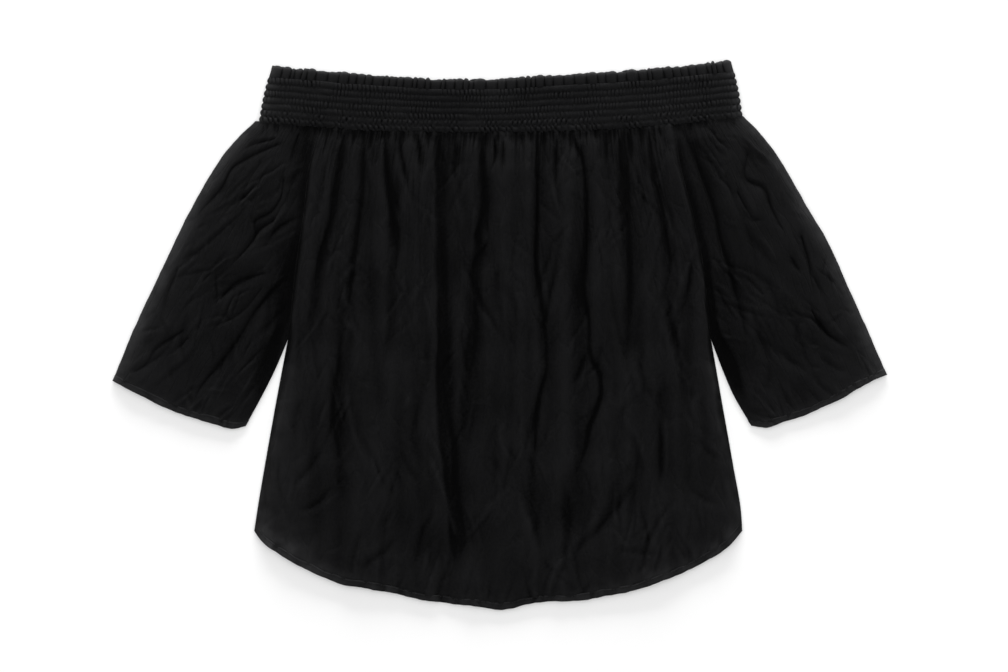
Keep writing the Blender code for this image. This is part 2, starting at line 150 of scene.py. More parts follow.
# The body's two edges: the raglan seams down to the armpits, then the side seams.
BodyLevel = namedtuple("BodyLevel", "y right_x left_x")
RAGLAN_LEVELS = [
    BodyLevel(170, -190, 181), BodyLevel(118, -196.5, 194.5), BodyLevel(64, -204.5, 205),
    BodyLevel(-3, -211.5, 211.5),
]
SIDE_LEVELS = [
    BodyLevel(-69, -224, 223), BodyLevel(-97, -229, 228), BodyLevel(-131, -235, 234),
    BodyLevel(-179, -243, 242), BodyLevel(-196, -245.5, 243),
]
# The shirt-tail hem, from the right side seam to the left one.
HEM_LINE = [
    (-239.5, -204.5), (-219, -220), (-188, -237), (-156, -249.5), (-130, -254), (-107, -258),
    (-75, -265.5), (-45, -269), (-20, -272), (3, -275), (30, -269), (50, -266.5), (70, -266.5),
    (102, -262), (141, -253.5), (177, -240.5), (204, -227.5), (230.5, -210),
]

# A valley between two pleats: a line down from the band, its half width, the share of the
# pleats' height that it cuts away, and its lean. A lean above 0 makes the longer one of its
# slopes the one towards +X, and none at all leaves it a slight one.
Valley = namedtuple("Valley", "line width cut lean", defaults=(0,))
FRONT_VALLEYS = [
    Valley([(-155, 200), (-159.5, 174), (-165.5, 143), (-171, 107), (-179, 84), (-186, 40)], 3.8, 0.7),
    Valley([(-135, 202), (-136, 175), (-136.5, 143), (-139.5, 119), (-143, 94), (-146, 67),
        (-152, 20)], 3.4, 0.7),
    Valley([(-115, 202), (-114.5, 177), (-110.5, 139), (-106, 107), (-103, 84), (-106, 50)], 3, 0.92),
    Valley([(-99.5, 196), (-96.5, 175), (-92, 153), (-90, 132)], 2.6, 0.8),
    Valley([(-81, 193), (-79.5, 174), (-78, 150)], 3, 0.85),
    Valley([(-62, 193), (-60.5, 165), (-59.5, 103), (-58, 64), (-55.5, 24), (-56.5, -20), (-54, -76),
        (-47, -112), (-46, -160), (-41, -194), (-38, -236)], 4, 0.9, 0.6),
    Valley([(-45.5, 198), (-43.5, 172), (-50, 148)], 3, 0.75),
    Valley([(-19, 194), (-16, 143), (-18, 111), (-24, 100), (-20, 83), (-26, 68), (-24, 30), (-25, -10),
        (-32, -50)], 4, 0.6, 0.4),
    Valley([(-5.5, 195), (-4.5, 178), (-10.5, 160)], 2.6, 0.75),
    Valley([(4, 192), (4, 178), (1.5, 150)], 3, 0.6),
    Valley([(36.5, 200), (37, 162), (37, 111), (35.5, 72), (41.5, 32), (46.5, -16), (47, -32),
        (38.5, -64), (35, -116), (33, -142)], 1.9, 0.75),
    Valley([(57.5, 194), (57, 165), (55.5, 138)], 3.4, 0.75),
    Valley([(70, 200), (71, 188), (69, 172)], 2.6, 0.6),
    Valley([(72, 202), (77, 190), (83, 176), (87, 145), (87.5, 116), (86.5, 72), (84.5, 40), (89.5, 16),
        (92.5, -24), (100, -40), (102, -60), (98, -74), (90.5, -94), (86, -116),
        (70, -148)], 2.5, 0.95),
    Valley([(106, 200), (106.5, 184), (105, 160)], 3, 0.65),
    Valley([(120, 192), (122, 162), (126, 135), (129, 87), (130, 40), (128, -5)], 3, 0.65, 0.3),
    Valley([(128, 200), (131, 182), (134, 164)], 3, 0.7),
    Valley([(149.5, 202), (152, 172), (158, 148), (167, 97), (170.5, 75), (166, 40)], 3.4, 0.6),
    Valley([(161, 203), (168, 188), (175, 174)], 3.2, 0.7),
]
# Broad hollows that some of the valleys lie in, all with the longer slope towards +X.
FRONT_HOLLOWS = [
    Valley([(-62, 195), (-61, 120), (-59, 40), (-60, -40), (-57, -110), (-50, -170),
        (-42, -250)], 16, 0.86, 0.72),
    Valley([(84, 185), (82, 100), (80, 20), (88, -40), (86, -100), (74, -165),
        (64, -225)], 17, 0.52, 0.1),
    Valley([(-17, 195), (-18, 110), (-24, 60), (-28, 0), (-34, -60), (-36, -120)], 12, 0.54, 0.4),
    Valley([(-112, 190), (-107, 110), (-106, 60), (-110, 0), (-118, -40)], 13, 0.51, 0.45),
    Valley([(38, 195), (38, 100), (42, 20), (46, -40), (36, -100), (34, -170),
        (42, -230)], 12, 0.44, 0.45),
    Valley([(-156, 195), (-168, 110), (-184, 40), (-190, -10), (-196, -50)], 12, 0.46, 0.4),
    Valley([(-136, 195), (-142, 90), (-155, 0), (-166, -80), (-160, -140),
        (-150, -190)], 12, 0.42, 0.4),
    Valley([(122, 195), (128, 90), (130, 10), (126, -50)], 14, 0.51, 0.45),
    Valley([(151, 195), (165, 100), (168, 30), (178, -15), (190, -60)], 12, 0.44, 0.4),
    Valley([(128, -135), (108, -178), (84, -222)], 12, 0.44, 0.3),
    Valley([(160, -60), (163, -120), (156, -180)], 15, 0.38, 0.3),
    Valley([(-90, -190), (-84, -220), (-92, -245)], 14, 0.36, 0.3),
    Valley([(-2, 60), (4, 0), (0, -60), (6, -120)], 10, 0.28, 0.3),
    Valley([(196, -40), (206, -90), (218, -140)], 12, 0.28, 0.3),
]
# Short gathers under the band, where neighbouring pleats run together: the x where each
# valley leaves the band, its length, its half width and its cut.
Gather = namedtuple("Gather", "x length width cut")
FRONT_GATHERS = [
    Gather(-173, 30, 3, 0.6), Gather(-147, 24, 2.4, 0.66), Gather(-141, 14, 2, 0.6),
    Gather(-135, 16, 2.2, 0.84), Gather(-127, 26, 2.6, 0.72), Gather(-110.5, 14, 2, 0.54),
    Gather(-94.5, 22, 2.2, 0.72), Gather(-87, 12, 2, 0.48), Gather(-71.5, 24, 2.4, 0.84),
    Gather(-54, 10, 2, 0.42), Gather(-34, 24, 2.6, 0.78), Gather(-27, 10, 2, 0.42),
    Gather(-12.5, 26, 2.2, 0.6), Gather(14.5, 16, 2.4, 0.6), Gather(24, 22, 2.6, 0.66),
    Gather(30, 16, 2, 0.48), Gather(45.5, 26, 2.4, 0.54), Gather(63, 15, 2.2, 0.9),
    Gather(90, 10, 2, 0.36), Gather(95.5, 14, 2.4, 0.72), Gather(112, 10, 2, 0.42),
    Gather(140.5, 26, 2.6, 0.78),
]
# The small gathers between them: the least and the greatest of each measure, where that of x
# is the step from one to the next. Then the part of the front that has them.
FINE_GATHER = Gather((3, 6.5), (7, 20), (1.1, 1.6), (0.4, 0.85))
FRONT_GATHERED = (-178, 168)
# The gathers fan out from a point this far above the neck, and sway a little on the way.
GATHER_FAN = 1800
GATHER_SWAY = 1.1

# How a valley starts and ends: the distance over which it opens, tapers off and closes, each
# at most a share of its length, and how narrow and shallow its ends are.
Ease = namedtuple("Ease", "distance share")
VALLEY_OPENS = Ease(0.025, 0.2)
VALLEY_TAPERS = Ease(0.06, 0.6)
VALLEY_CLOSES = Ease(0.05, 0.8)
VALLEY_START_WIDTH = 0.6
VALLEY_END_WIDTH = 0.4
VALLEY_START_DEPTH = 0.85
SLIGHT_LEAN = 0.3
# How much of a valley is its sharp trough, how much is the broad one, and how wide those are.
SHARP_TROUGH = 0.66
SHARP_WIDTH = 0.85
BROAD_TROUGH = 0.3
BROAD_WIDTH = 2.4
# Waves along a valley: how strong, how long, and how far the next valley's waves are shifted.
Wave = namedtuple("Wave", "amount length shift")
VALLEY_WIDTH_WAVES = [Wave(0.2, 0.023, 2.1), Wave(0.12, 0.009, 1)]
VALLEY_DEPTH_WAVES = [Wave(0.13, 0.031, 1.7)]

# A crease of the cloth: a soft trough, or a ridge where its rise is above 0. It has a
# line, a half width and a rise in millimetres, and fades at both ends.
Crease = namedtuple("Crease", "line width rise")
FRONT_CREASES = [
    Crease([(67, -151), (70, -184), (67, -212), (60, -228)], 4, -1.4),
    Crease([(64, -220), (54, -242), (47, -266)], 2.2, 1.6),
    Crease([(165, -80), (167, -112), (165, -142)], 2, 1),
    Crease([(-70, -214), (-74, -228), (-77, -244)], 2, 1),
    Crease([(136, -142), (124, -164), (106, -185), (86, -207), (74, -221)], 3.4, -1.2),
    Crease([(160, -82), (161, -112), (161, -139), (158, -159)], 2.4, -0.9),
    Crease([(169, -94), (179, -107)], 3, -1),
    Crease([(192, -46), (192, -76)], 3, -1),
    Crease([(36, -180), (42, -225)], 3, -0.8),
    Crease([(11, -210), (26, -194)], 3, -0.9),
    Crease([(-157, -14), (-166, -55), (-166, -85), (-161, -116), (-157, -135)], 2.6, -1.2),
    Crease([(-177, -112), (-191, -134), (-209, -153)], 3, -1.2),
    Crease([(-204, -176), (-193, -173), (-180, -167), (-172, -157), (-163, -148)], 2.6, -1.2),
    Crease([(-213, -178), (-207, -191)], 2.6, -1),
    Crease([(-214, -194), (-212, -216)], 2.6, -1.1),
    Crease([(-138, -194), (-143, -212), (-147, -232), (-148, -246)], 3, -1.1),
    Crease([(-102, -201), (-116, -217), (-130, -226), (-141, -237)], 3.2, -1.2),
    Crease([(-114, -228), (-104, -230), (-95, -237)], 2.6, -0.8),
    Crease([(-63, -175), (-75, -192), (-82, -219), (-88, -237)], 2.6, -0.7),
    Crease([(-70, -120), (-64, -140), (-56, -163), (-47, -190), (-42, -208)], 2.2, 2.2),
    Crease([(-32, -201), (-39, -216)], 2.6, -1),
    Crease([(-121, -96), (-121, -114)], 2.4, -1),
    Crease([(-132, -30), (-132, -52)], 2.4, -0.8),
    Crease([(-138, -92), (-116, -87)], 2.6, -0.8),
    Crease([(-86, -55), (-98, -82)], 2.6, 0.9),
    Crease([(88, -14), (80, -37), (70, -55)], 2.8, -1.5),
    Crease([(-176, 68), (-164, 84), (-152, 92)], 3, -0.8),
    Crease([(-155, 40), (-146, 58), (-133, 70)], 2.8, -0.8),
    Crease([(-92, 22), (-84, 40), (-70, 62)], 2.8, 0.8),
    Crease([(4, 52), (14, 30), (18, 2)], 3, -0.8),
    Crease([(106, -6), (98, -30), (112, -52)], 3, -0.8),
    Crease([(58, 96), (72, 88)], 2.6, -0.7),
    Crease([(170, 18), (180, -12), (190, -34)], 3.4, -0.9),
    Crease([(196, -100), (212, -120), (226, -126)], 3, -0.9),
    Crease([(186, -150), (206, -164), (224, -170)], 3, -0.8),
    Crease([(112, -214), (136, -216), (166, -222)], 2.8, -0.7),
    Crease([(-8, -120), (2, -140), (6, -166)], 3, -0.8),
    Crease([(-100, -110), (-92, -132), (-78, -150)], 3, -0.9),
    Crease([(-196, -60), (-204, -84), (-206, -108)], 3.4, -0.9),
    Crease([(-186, 30), (-194, 4), (-198, -24)], 3.4, -0.8),
    Crease([(128, -60), (122, -86), (126, -112)], 3, -0.8),
]
BACK_CREASES = [
    Crease([(-150, 150), (-156, 60), (-148, -40), (-160, -120)], 5, 0.7),
    Crease([(-70, 170), (-66, 90), (-78, 10)], 5, 0.6),
    Crease([(10, 160), (4, 20), (14, -110), (6, -210)], 6, 0.7),
    Crease([(96, 165), (104, 70), (98, -50)], 5, 0.7),
    Crease([(160, 120), (170, 10), (158, -110), (150, -190)], 5, 0.6),
    Crease([(-110, -90), (-80, -150), (-30, -200)], 4, 0.5),
    Crease([(60, -120), (100, -170), (120, -215)], 4, 0.5),
]
# Where along its line a crease fades in and out again, and how sharp its trough is.
CREASE_STARTS = (0, 14)
CREASE_ENDS = (0, 16)
CREASE_POWER = 1.4
# The bank beside a crease or crinkle: its height as a share of the rise, and how far off it
# lies and how wide it is, in the crease's own half widths.
Bank = namedtuple("Bank", "height away width")
CREASE_BANK = Bank(0.35, 2.4, 1.5)
CRINKLE_BANK = Bank(0.6, 2.2, 1.4)
# How many half widths off a valley, a crease and a crinkle still shape the cloth.
VALLEY_REACH = 6
CREASE_REACH = 5
CRINKLE_REACH = 4

# One sleeve: its edges in plan, the valleys and gathers of its upper layer, the part of the
# band that its fine gathers hang from, how much painted light its shoulder fold lets through,
# its creases.
Side = namedtuple("Side", "name toward shoulder underarm cuff valleys gathers gathered glow creases")
RIGHT = Side(
    name="right",
    toward=-1,
    shoulder=[
        (-244.5, 213), (-256, 203), (-274, 183), (-287.5, 163), (-310, 123), (-339, 63), (-367, 3),
        (-387, -46),
    ],
    underarm=[(-226, -37), (-236, -57), (-254.5, -91)],
    cuff=[(-263, -93.5), (-291, -87.5), (-328, -75.5), (-363, -58.5)],
    valleys=[
        Valley([(-201, 201), (-204, 190), (-209, 174), (-212, 160)], 2.3, 0.85),
        Valley([(-192, 205), (-198, 112), (-203, 76), (-209, 47), (-217, 16), (-228, -20), (-241, -62),
            (-252, -88)], 10.5, 0.97),
        Valley([(-216, 155), (-219, 137), (-228, 124), (-244, 114), (-245, 94), (-261, 77)], 2.7, 0.66),
        Valley([(-239, 172), (-251, 153), (-262, 128), (-278, 114)], 2.7, 0.44),
        Valley([(-221, 191), (-245, 181), (-268, 166), (-277, 149), (-292, 131),
            (-311, 111)], 2.8, 0.57),
        Valley([(-225, 196), (-251, 188), (-264, 177)], 2.3, 0.53),
        Valley([(-198, 120), (-225, 104), (-233, 91), (-242, 77)], 2.7, 0.62),
        Valley([(-226, 114), (-237, 107), (-249, 91), (-259, 79), (-276, 62)], 2.8, 0.66),
        Valley([(-214, 58), (-228, 44), (-243, 26), (-259, 0), (-276, -24), (-293, -44), (-303, -60),
            (-302, -84)], 3.9, 0.81),
        Valley([(-322, 64), (-333, 37), (-337, 5)], 2.8, 0.57),
        Valley([(-236, 62), (-262, 54), (-281, 35), (-297, 22)], 2.5, 0.48),
        Valley([(-238, 46), (-258, 23), (-278, 11), (-301, 5)], 2.5, 0.4),
        Valley([(-318, 4), (-345, -15), (-354, -29), (-372, -40)], 2.3, 0.53),
        Valley([(-312, -4), (-329, -19), (-344, -24)], 2.2, 0.44),
        Valley([(-188, 190), (-202, 164), (-210, 140), (-216, 112)], 6, 0.5),
    ],
    gathers=[
        Gather(-221, 16, 2.6, 0.6), Gather(-213, 10, 2.2, 0.4), Gather(-193, 18, 2.6, 0.6),
        Gather(-183, 22, 2.6, 0.6), Gather(-230, 10, 2.2, 0.4),
    ],
    gathered=(-236, -184),
    glow=0.9,
    creases=[
        Crease([(-298, -63), (-301, -80)], 2.6, -1),
        Crease([(-221, 114), (-229, 96)], 3, -0.9),
        Crease([(-296, 85), (-313, 74)], 3, -0.9),
        Crease([(-240, 62), (-272, 44), (-294, 31)], 3, -1),
        Crease([(-324, 1), (-331, -12), (-357, -32), (-375, -41)], 3.2, -1.2),
        Crease([(-346, -45), (-339, -58)], 2.6, -0.9),
        Crease([(-286, 60), (-300, 48), (-306, 30)], 3, 0.8),
        Crease([(-262, 10), (-276, 20), (-296, 14)], 3, -0.8),
        Crease([(-312, 20), (-318, -10), (-312, -36)], 3, -0.8),
        Crease([(-240, 130), (-258, 138), (-268, 128)], 2.8, -0.8),
    ],
)
LEFT = Side(
    name="left",
    toward=1,
    shoulder=[
        (244, 218), (254, 209), (275, 183.5), (299, 143.5), (311, 122), (323, 103), (351, 43), (369, 3),
        (387.5, -40),
    ],
    underarm=[(224.5, -37), (233, -57), (252.5, -91)],
    cuff=[(266, -92.5), (285, -87), (303, -81), (339, -65), (374, -45.5)],
    valleys=[
        Valley([(182, 205), (192, 187), (198, 169), (208, 143), (215, 121), (220, 95), (228, 71),
            (236, 43), (244, 13), (247, -20)], 5.5, 0.85, 0.35),
        Valley([(172, 206), (184, 157), (192, 131), (198, 103), (204, 75), (208, 43), (213, 15),
            (221, -8), (232, -32), (242, -56), (252, -84)], 9.5, 0.97),
        Valley([(210, 206), (220, 193), (237, 181)], 2.5, 0.62),
        Valley([(248, 180), (246, 157), (264, 147), (272, 127), (282, 107), (291, 90)], 2.8, 0.53),
        Valley([(238, 142), (248, 124), (255, 115), (268, 117)], 2.3, 0.44),
        Valley([(302, 98), (308, 79), (314, 59), (324, 39), (337, 14)], 3.5, 0.53),
        Valley([(312, 24), (326, 3), (345, -10), (358, -22)], 2.5, 0.53),
        Valley([(292, 77), (303, 58)], 2.2, 0.44),
        Valley([(226, 158), (236, 130), (248, 104), (256, 70), (262, 30)], 6, 0.3),
        Valley([(268, -4), (280, -26), (284, -52)], 3.9, 0.26),
    ],
    gathers=[
        Gather(190, 18, 2.6, 0.6), Gather(200, 12, 2.4, 0.5), Gather(206, 10, 2.2, 0.4),
        Gather(222, 10, 2.2, 0.4), Gather(230, 14, 2.4, 0.5),
    ],
    gathered=(174, 238),
    glow=0.75,
    creases=[
        Crease([(238, 205), (255, 187), (268, 177), (285, 157), (303, 127)], 2.8, 1.4),
        Crease([(238, 133), (253, 114), (266, 118)], 2.8, -0.9),
        Crease([(292, 75), (305, 57)], 2.8, -0.9),
        Crease([(311, 23), (329, 1), (350, -14)], 3.2, -1.2),
        Crease([(264, 60), (276, 34), (282, 8)], 3.2, -0.8),
        Crease([(300, 20), (296, -8), (304, -34)], 3, -0.8),
        Crease([(262, -10), (270, -34), (268, -60)], 3.2, -0.8),
        Crease([(318, -20), (338, -34), (352, -38)], 3, -0.8),
        Crease([(256, 100), (270, 86), (276, 66)], 3, 0.8),
    ],
)

# The crinkles by kind: how many a square metre, how far their directions spread in degrees,
# and their lengths, half widths and height in metres.
Crinkle = namedtuple("Crinkle", "seed per_square_metre spread lengths widths rise")
CRINKLES = [
    Crinkle(1, 480, 14, (0.050, 0.130), (0.0022, 0.0050), 0.0011),
    Crinkle(2, 3400, 22, (0.020, 0.070), (0.0013, 0.0021), 0.00075),
    Crinkle(3, 1500, 45, (0.012, 0.030), (0.0015, 0.0020), 0.00045),
]
# The share of them that shows, how much their heights vary and how much they bend, and how
# they narrow and fade towards their ends.
CRINKLE_SHARE = 0.55
CRINKLE_RISES = (0.4, 1.3)
CRINKLE_BEND = 2.5
CRINKLE_TAPER = 0.4
CRINKLE_FADE = 1.5
# The share of their height that the front's crinkles keep at the hem, and the distances below
# the band over which they lose the rest. Then the share that the back's keep, and how far the
# sleeves' are turned.
HEM_CRINKLES = 0.78
HEMWARD = (0, 300)
BACK_CRINKLES = 0.25
SLEEVE_TILT = math.radians(38)

# The seeds of what is strewn at random. Each sleeve's are one less or one more.
FRONT_GATHER_SEED = 45
SLEEVE_GATHER_SEED = 47
FRONT_CRINKLE_SEED = 7
BACK_CRINKLE_SEED = 31
SLEEVE_CRINKLE_SEED = 90
PUCKER_SEED = 11
RUFFLE_EDGE_SEED = 5
RUFFLE_SEED = 23

# How unevenly cloth lies: soft patterns, each with its strength, the distances in x and y over
# which it changes, its seed, and how far it is shifted. Those of an edge vary only along it.
Pattern = namedtuple("Pattern", "amount size seed shift", defaults=(0, 0))
DRIFT_CELLS = 64
DRIFT_GAIN = 1.5
FRONT_UNEVEN = [Pattern(0.5, (0.045, 0.2), 3), Pattern(0.3, (0.016, 0.13), 4)]
SLEEVE_UNEVEN = [Pattern(0.35, (0.06, 0.1), 5), Pattern(0.2, (0.025, 0.05), 6)]
SLOPE_UNEVEN = [Pattern(0.35, (0.03, 0.03), 41)]
CRINKLE_WANDER = [Pattern(0.0012, (0.012, 0.014))]
CRINKLE_CROWDS = [Pattern(1.5, (0.06, 0.08))]
DRAWN_UNEVEN = [Pattern(1.1, (0.03, 0.09), 51)]
# The next two make the painted light at the edges uneven, and the third the painted shade of stitches.
BODY_CLOUDS = [Pattern(0.6, (0.016, 0.014), 61), Pattern(0.3, (0.006, 0.005), 62)]
SLEEVE_CLOUDS = [Pattern(0.4, (0.02, 0.02), 63), Pattern(0.2, (0.006, 0.006), 64)]
STITCH_PULL = [Pattern(1, (0.01, 0.01), 83)]
# The wander of a hem's inner edge, its pucker, and the wander of any laid edge.
HEM_WANDER = [Pattern(0.0014, (0.016, 0.01))]
HEM_PUCKER = [Pattern(0.0004, (0.007, 0.01)), Pattern(0.00024, (0.0032, 0.01), 1)]
EDGE_WANDER = [Pattern(0.0006, (0.019, 0.01)), Pattern(0.00036, (0.007, 0.01), 1)]
FOLD_EDGE_SEED = 81
# The seeds of a hem's three patterns, and how low its inner edge is tucked.
HemSeeds = namedtuple("HemSeeds", "wander pucker edge")
BODY_HEM = HemSeeds(71, 73, 79)
CUFF_HEM = HemSeeds(75, 77, 80)
HEM_STEP = 0.0003
# The band's puckers and puffs, its elastic rows and its foot, then the frill's valleys.
PUCKER_TURNS = [Pattern(2.6, (0.02, 0.01), 13), Pattern(1.82, (0.007, 0.01), 17)]
PUFF_FULLNESS = [Pattern(0.5, (0.016, 0.01), 19, 1)]
PUCKER_STRENGTH = [Pattern(1.5, (0.018, 0.01), 21, 2)]
ROW_WANDER = [Pattern(0.0004, (0.02, 0.01), 27)]
BAND_FOOT_RAG = [Pattern(0.0011, (0.0045, 0.01), 28)]
RUFFLE_WANDER = [Pattern(0.0022, (0.012, 0.3), 29)]

# The shirred band: the puffs between its rows of elastic, from the frill down. How high each
# stands, and how high its puckers are and how wide, all in millimetres. Then how much they
# slant, in radians, and how far others cross them, which makes diamonds of them.
Puff = namedtuple("Puff", "height pucker width slant crossing")
PUFFS = [
    Puff(0.9, 0.55, 4.1, 1.5, 0.3),
    Puff(0.8, 0.45, 3.7, 1.5, 0.3),
    Puff(0.8, 0.34, 3.4, 1, 0.2),
    Puff(0.8, 0.36, 3.6, 1.5, 0.3),
    Puff(0.7, 0.42, 4.2, 3.0, 0.4),
    Puff(0.6, 0.48, 5.0, 4.6, 0.6),
    Puff(0.5, 0.54, 5.6, 5.2, 0.6),
]
ELASTIC_ROWS = len(PUFFS) + 1
STEPS_PER_PUFF = 6
# How far the band's ends bulge at its elastic rows and at its puffs, and how much more the
# puffs stand out of its outline. Then the puffs' height underneath, and how far the band's foot
# drops and from which share of its depth.
BAND_BULGE = 0.0006
PUFF_BULGE = 0.0011
BAND_END_SCALLOP = 0.0018
LOW_PUFF_HEIGHT = 0.0003
BAND_FOOT_DROP = 0.0006
BAND_FOOT_SHARE = 0.9
# How strong the puckers are on the whole, and from and to, the slower waves among them, what
# is left of them at a row of elastic, and how round the puffs are.
PUCKER_SHARE = 0.7
PUCKER_LIMITS = (0.05, 1.6)
SLOW_PUCKERS = Wave(0.45, 1.73, 2)
PUCKERS_AT_ROW = 0.6
PUFF_ROUND = 0.8
# The frill's ruffles: the least and greatest widths of full and of narrow ones, the share
# that are narrow, their heights and leans, how far they stand out, how far their tips round
# off in plan, how round they are, over how many rows they rise, and how far the low layer's
# are shifted. Then how far the frill's ends bulge, its depth, and the share of the neck that
# it runs down over the band.
RUFFLE_WIDTHS = (0.0072, 0.0122)
NARROW_RUFFLES = (0.0028, 0.0055)
NARROW_SHARE = 0.28
RUFFLE_HEIGHTS = (0.45, 1.2)
RUFFLE_LEANS = (-0.5, 0.5)
RUFFLE_HEIGHT = 0.0036
LOW_RUFFLE_HEIGHT = 0.0006
RUFFLE_SCALLOP = 0.0024
RUFFLE_ROUND = 0.6
RUFFLE_TIP_ROWS = 2.5
LOW_RUFFLE_SHIFT = 0.011
FRILL_BULGE = 0.0012
FRILL_DEPTH = 0.012
FRILL_OVERLAP = 0.012

# Stitches: from one to the next, and the length and width of each. Each strays a little from
# its place and is a little flat. They are made by small batches, which take far less time.
# The ends of a hem have none, over a few columns of its grid.
Stitch = namedtuple("Stitch", "pitch length width")
HEM_STITCH = Stitch(0.0028, 0.0021, 0.00055)
SHIRR_STITCH = Stitch(0.0026, 0.0017, 0.0005)
STITCH_STRAY = 0.1
STITCH_FLATNESS = 0.6
STITCH_BATCH = 30
STITCHES_START = 4
STITCHES_END = -3

# What the finish of a piece needs to know of each of its points: how much painted light it
# gets, as of the table showing through it, how sunk it is, which the finish paints as shade,
# and how finely the gathers pleat it, which it paints as shade and bumps as relief.
Marks = namedtuple("Marks", "thin sunk drawn", defaults=(0, 0))
# A kind of cloth: its finish, how thick it is, and the frame's slot that it takes.
Cloth = namedtuple("Cloth", "finish wall slot")
# How many times heights are softened, in detail an eighth of it, to tell how far a point
# stands out, for the painted shade and highlight: across and along. The shirred pieces'
# heights are exaggerated for that.
CLOTH_PASSES = (36, 160)
BAND_PASSES = (4, 6)
BAND_CONTRAST = 1.5
FRILL_PASSES = (8, 60)
FRILL_CONTRAST = 2
# How far cloth stands out of that around it, which the finish paints as shade and highlight:
# the value of level cloth, and the heights that add 1 to it, broadly and in detail. Then how
# much and how fast painted shade darkens sunk cloth.
LEVEL_CREST = 0.66
CREST_RANGE = 0.0056
SHARP_RANGE = 0.0026
SUNK_SHADE = 0.66
SUNK_POWER = 1.45
# How dark the painted shade of the valleys is in a sleeve, where 1 is the front's, and beside
# its inner seam above and below the armpit, with the distances below the band and from the
# seam over which that changes; the painted shade of the band's puckers; of the slots between
# ruffles; of the frill's foot; and of what a line of stitches draws in, a fifth of the way down
# a hem.
SLEEVE_SHADE = 0.55
INNER_SEAM_SHADES = (1.15, 1.7)
BELOW_ARMPIT = (80, 140)
BESIDE_SEAM = (16, 36)
PUCKER_SHADE = 0.5
SLOT_SHADE = 0.9
SLOT_WIDTH = 0.0013
FRILL_FOOT_SHADE = 0.35
STITCH_SHADE = 0.75
STITCH_LINE = 0.2
STITCH_LINE_WIDTH = 0.12
STITCH_PULL_SHARE = 0.7
# How far below the band the gathers still pleat the cloth finely, and how strongly just there,
# on the whole, and at most.
FRONT_DRAWN = 0.13
SLEEVE_DRAWN = 0.045
BAND_DRAWN = 0.018
BAND_DRAWN_SHARE = 0.7
DRAWN_SHARE = 0.9
MOST_DRAWN = 1.6
# How much painted light, as of the table showing through, falls at an edge, near it and
# farther in: share and reach.
Glow = namedtuple("Glow", "share reach")
NEAR_GLOW = Glow(0.68, 0.0064)
FAR_GLOW = Glow(0.32, 0.017)
# How much painted light the hem lets through, and what its right corner, its left part and a
# dull part of it add to that, how much farther in the first two reach, and where in x each
# lies, the dull one by its middle and its width. Then the painted light of the side seams,
# right and left, which let nothing through far above the armpits, and of the other edges.
HEM_GLOW = 0.42
CORNER_GLOW = Glow(0.42, 1.5)
CORNER = (-125, -225)
LEFT_GLOW = Glow(0.08, 0.7)
LEFT_PART = (60, 160)
DULL_GLOW = -0.14
DULL_PART = (-60, 45)
SIDE_GLOWS = (0.95, 0.75)
SIDE_GLOW_ENDS = (-30, 10)
SIDE_GLOW_NARROWER = 1.8
HEM_GLOW_SHARE = 0.8
CUFF_GLOW = 0.45
BAND_GLOW = 0.7
FRILL_END_GLOW = 0.6
FRILL_EDGE_GLOW = Glow(0.95, 0.0035)

# The finishes: each cloth's colours in its valleys and on its crests, which are painted shade
# and painted highlight, and how deep its fine creases are. Then the colour of a single layer
# with the white table under it, which is painted light, and of thread.
Shades = namedtuple("Shades", "valley crest crinkle")
BODY_SHADES = Shades((0.0004, 0.0004, 0.0005), (0.0061, 0.0061, 0.0065), 0.00052)
SHIRRED_SHADES = Shades((0.0012, 0.0012, 0.0014), (0.0090, 0.0090, 0.0095), 0.0003)
HEM_SHADES = Shades((0.0006, 0.0006, 0.0007), (0.0062, 0.0062, 0.0066), 0.0003)
PAINTED_TABLE_GLOW = (0.028, 0.028, 0.029)
THREAD_BLACK = (0.011, 0.011, 0.0115)
TABLE_WHITE = (0.9, 0.9, 0.9)
# The noises of the cloth: their scale and detail, and what each does. The first two vary its
# tone at random, and the third paints shade along the fine pleats, which it also bumps. The
# next two are the relief of its pinched and of its fine unevenness.
Noise = namedtuple("Noise", "scale detail amount")
CLOUDY = Noise(20, 1, 0.95)
MOTTLED = Noise(420, 2, 0.74)
PLEATED = Noise(330, 2, 1.4)
PINCHED = Noise(190, 2, 0.3)
FINE = Noise(520, 2, 0.0001)
PLEAT_STRETCH = (1, 0.07, 1)
PLEAT_RELIEF = 0.0008
WEAVE = {"Scale": 520, "Distortion": 1.2}
WEAVE_RELIEF = 0.00006
ROUGHNESS = 0.86
ROUGHNESS_RANGE = 0.12
CLOTH_GLOSS = {"Specular IOR Level": 0.04, "Sheen Weight": 0.015, "Sheen Roughness": 0.4}
# How much of the painted light from the table below even a valley lets through.
VALLEY_GLOW = 0.3
# The nets of broken creases in the cloth: how each is turned and drawn out, its size and
# depth, and the part of the cloth that shows it. Then what bends and what breaks them.
CreaseNet = namedtuple("CreaseNet", "turn length scale sharpness depth worn worn_through")
CREASE_NETS = [
    CreaseNet(0.3, 0.3, 52, 13, 1.0, 0.44, 0.6),
    CreaseNet(-0.42, 0.26, 60, 13, 0.8, 0.56, 0.42),
]
CREASE_BEND = Noise(28, 3, (0.012, 0.02, 0))
CREASE_WEAR = Noise(30, 1, 1)

# The studio: each softbox's place, size and power, the surround, and the camera, which frames
# a width of the table around a middle and hangs that high above the top of the cloth.
Softbox = namedtuple("Softbox", "place size power")
SOFTBOXES = {
    "key_softbox": Softbox((0, 4.5, 0.62), (4, 1), 400),
    "top_softbox": Softbox((0, 0.4, 3.2), (1.6, 1.6), 18),
}
SURROUND = 0.79
TABLE_SIZE = 6
LENS = 85
SENSOR = 36
FRAME_WIDTH = 1.008
FRAME_MIDDLE = (4.5, -1)
CLOTH_TOP = 0.004


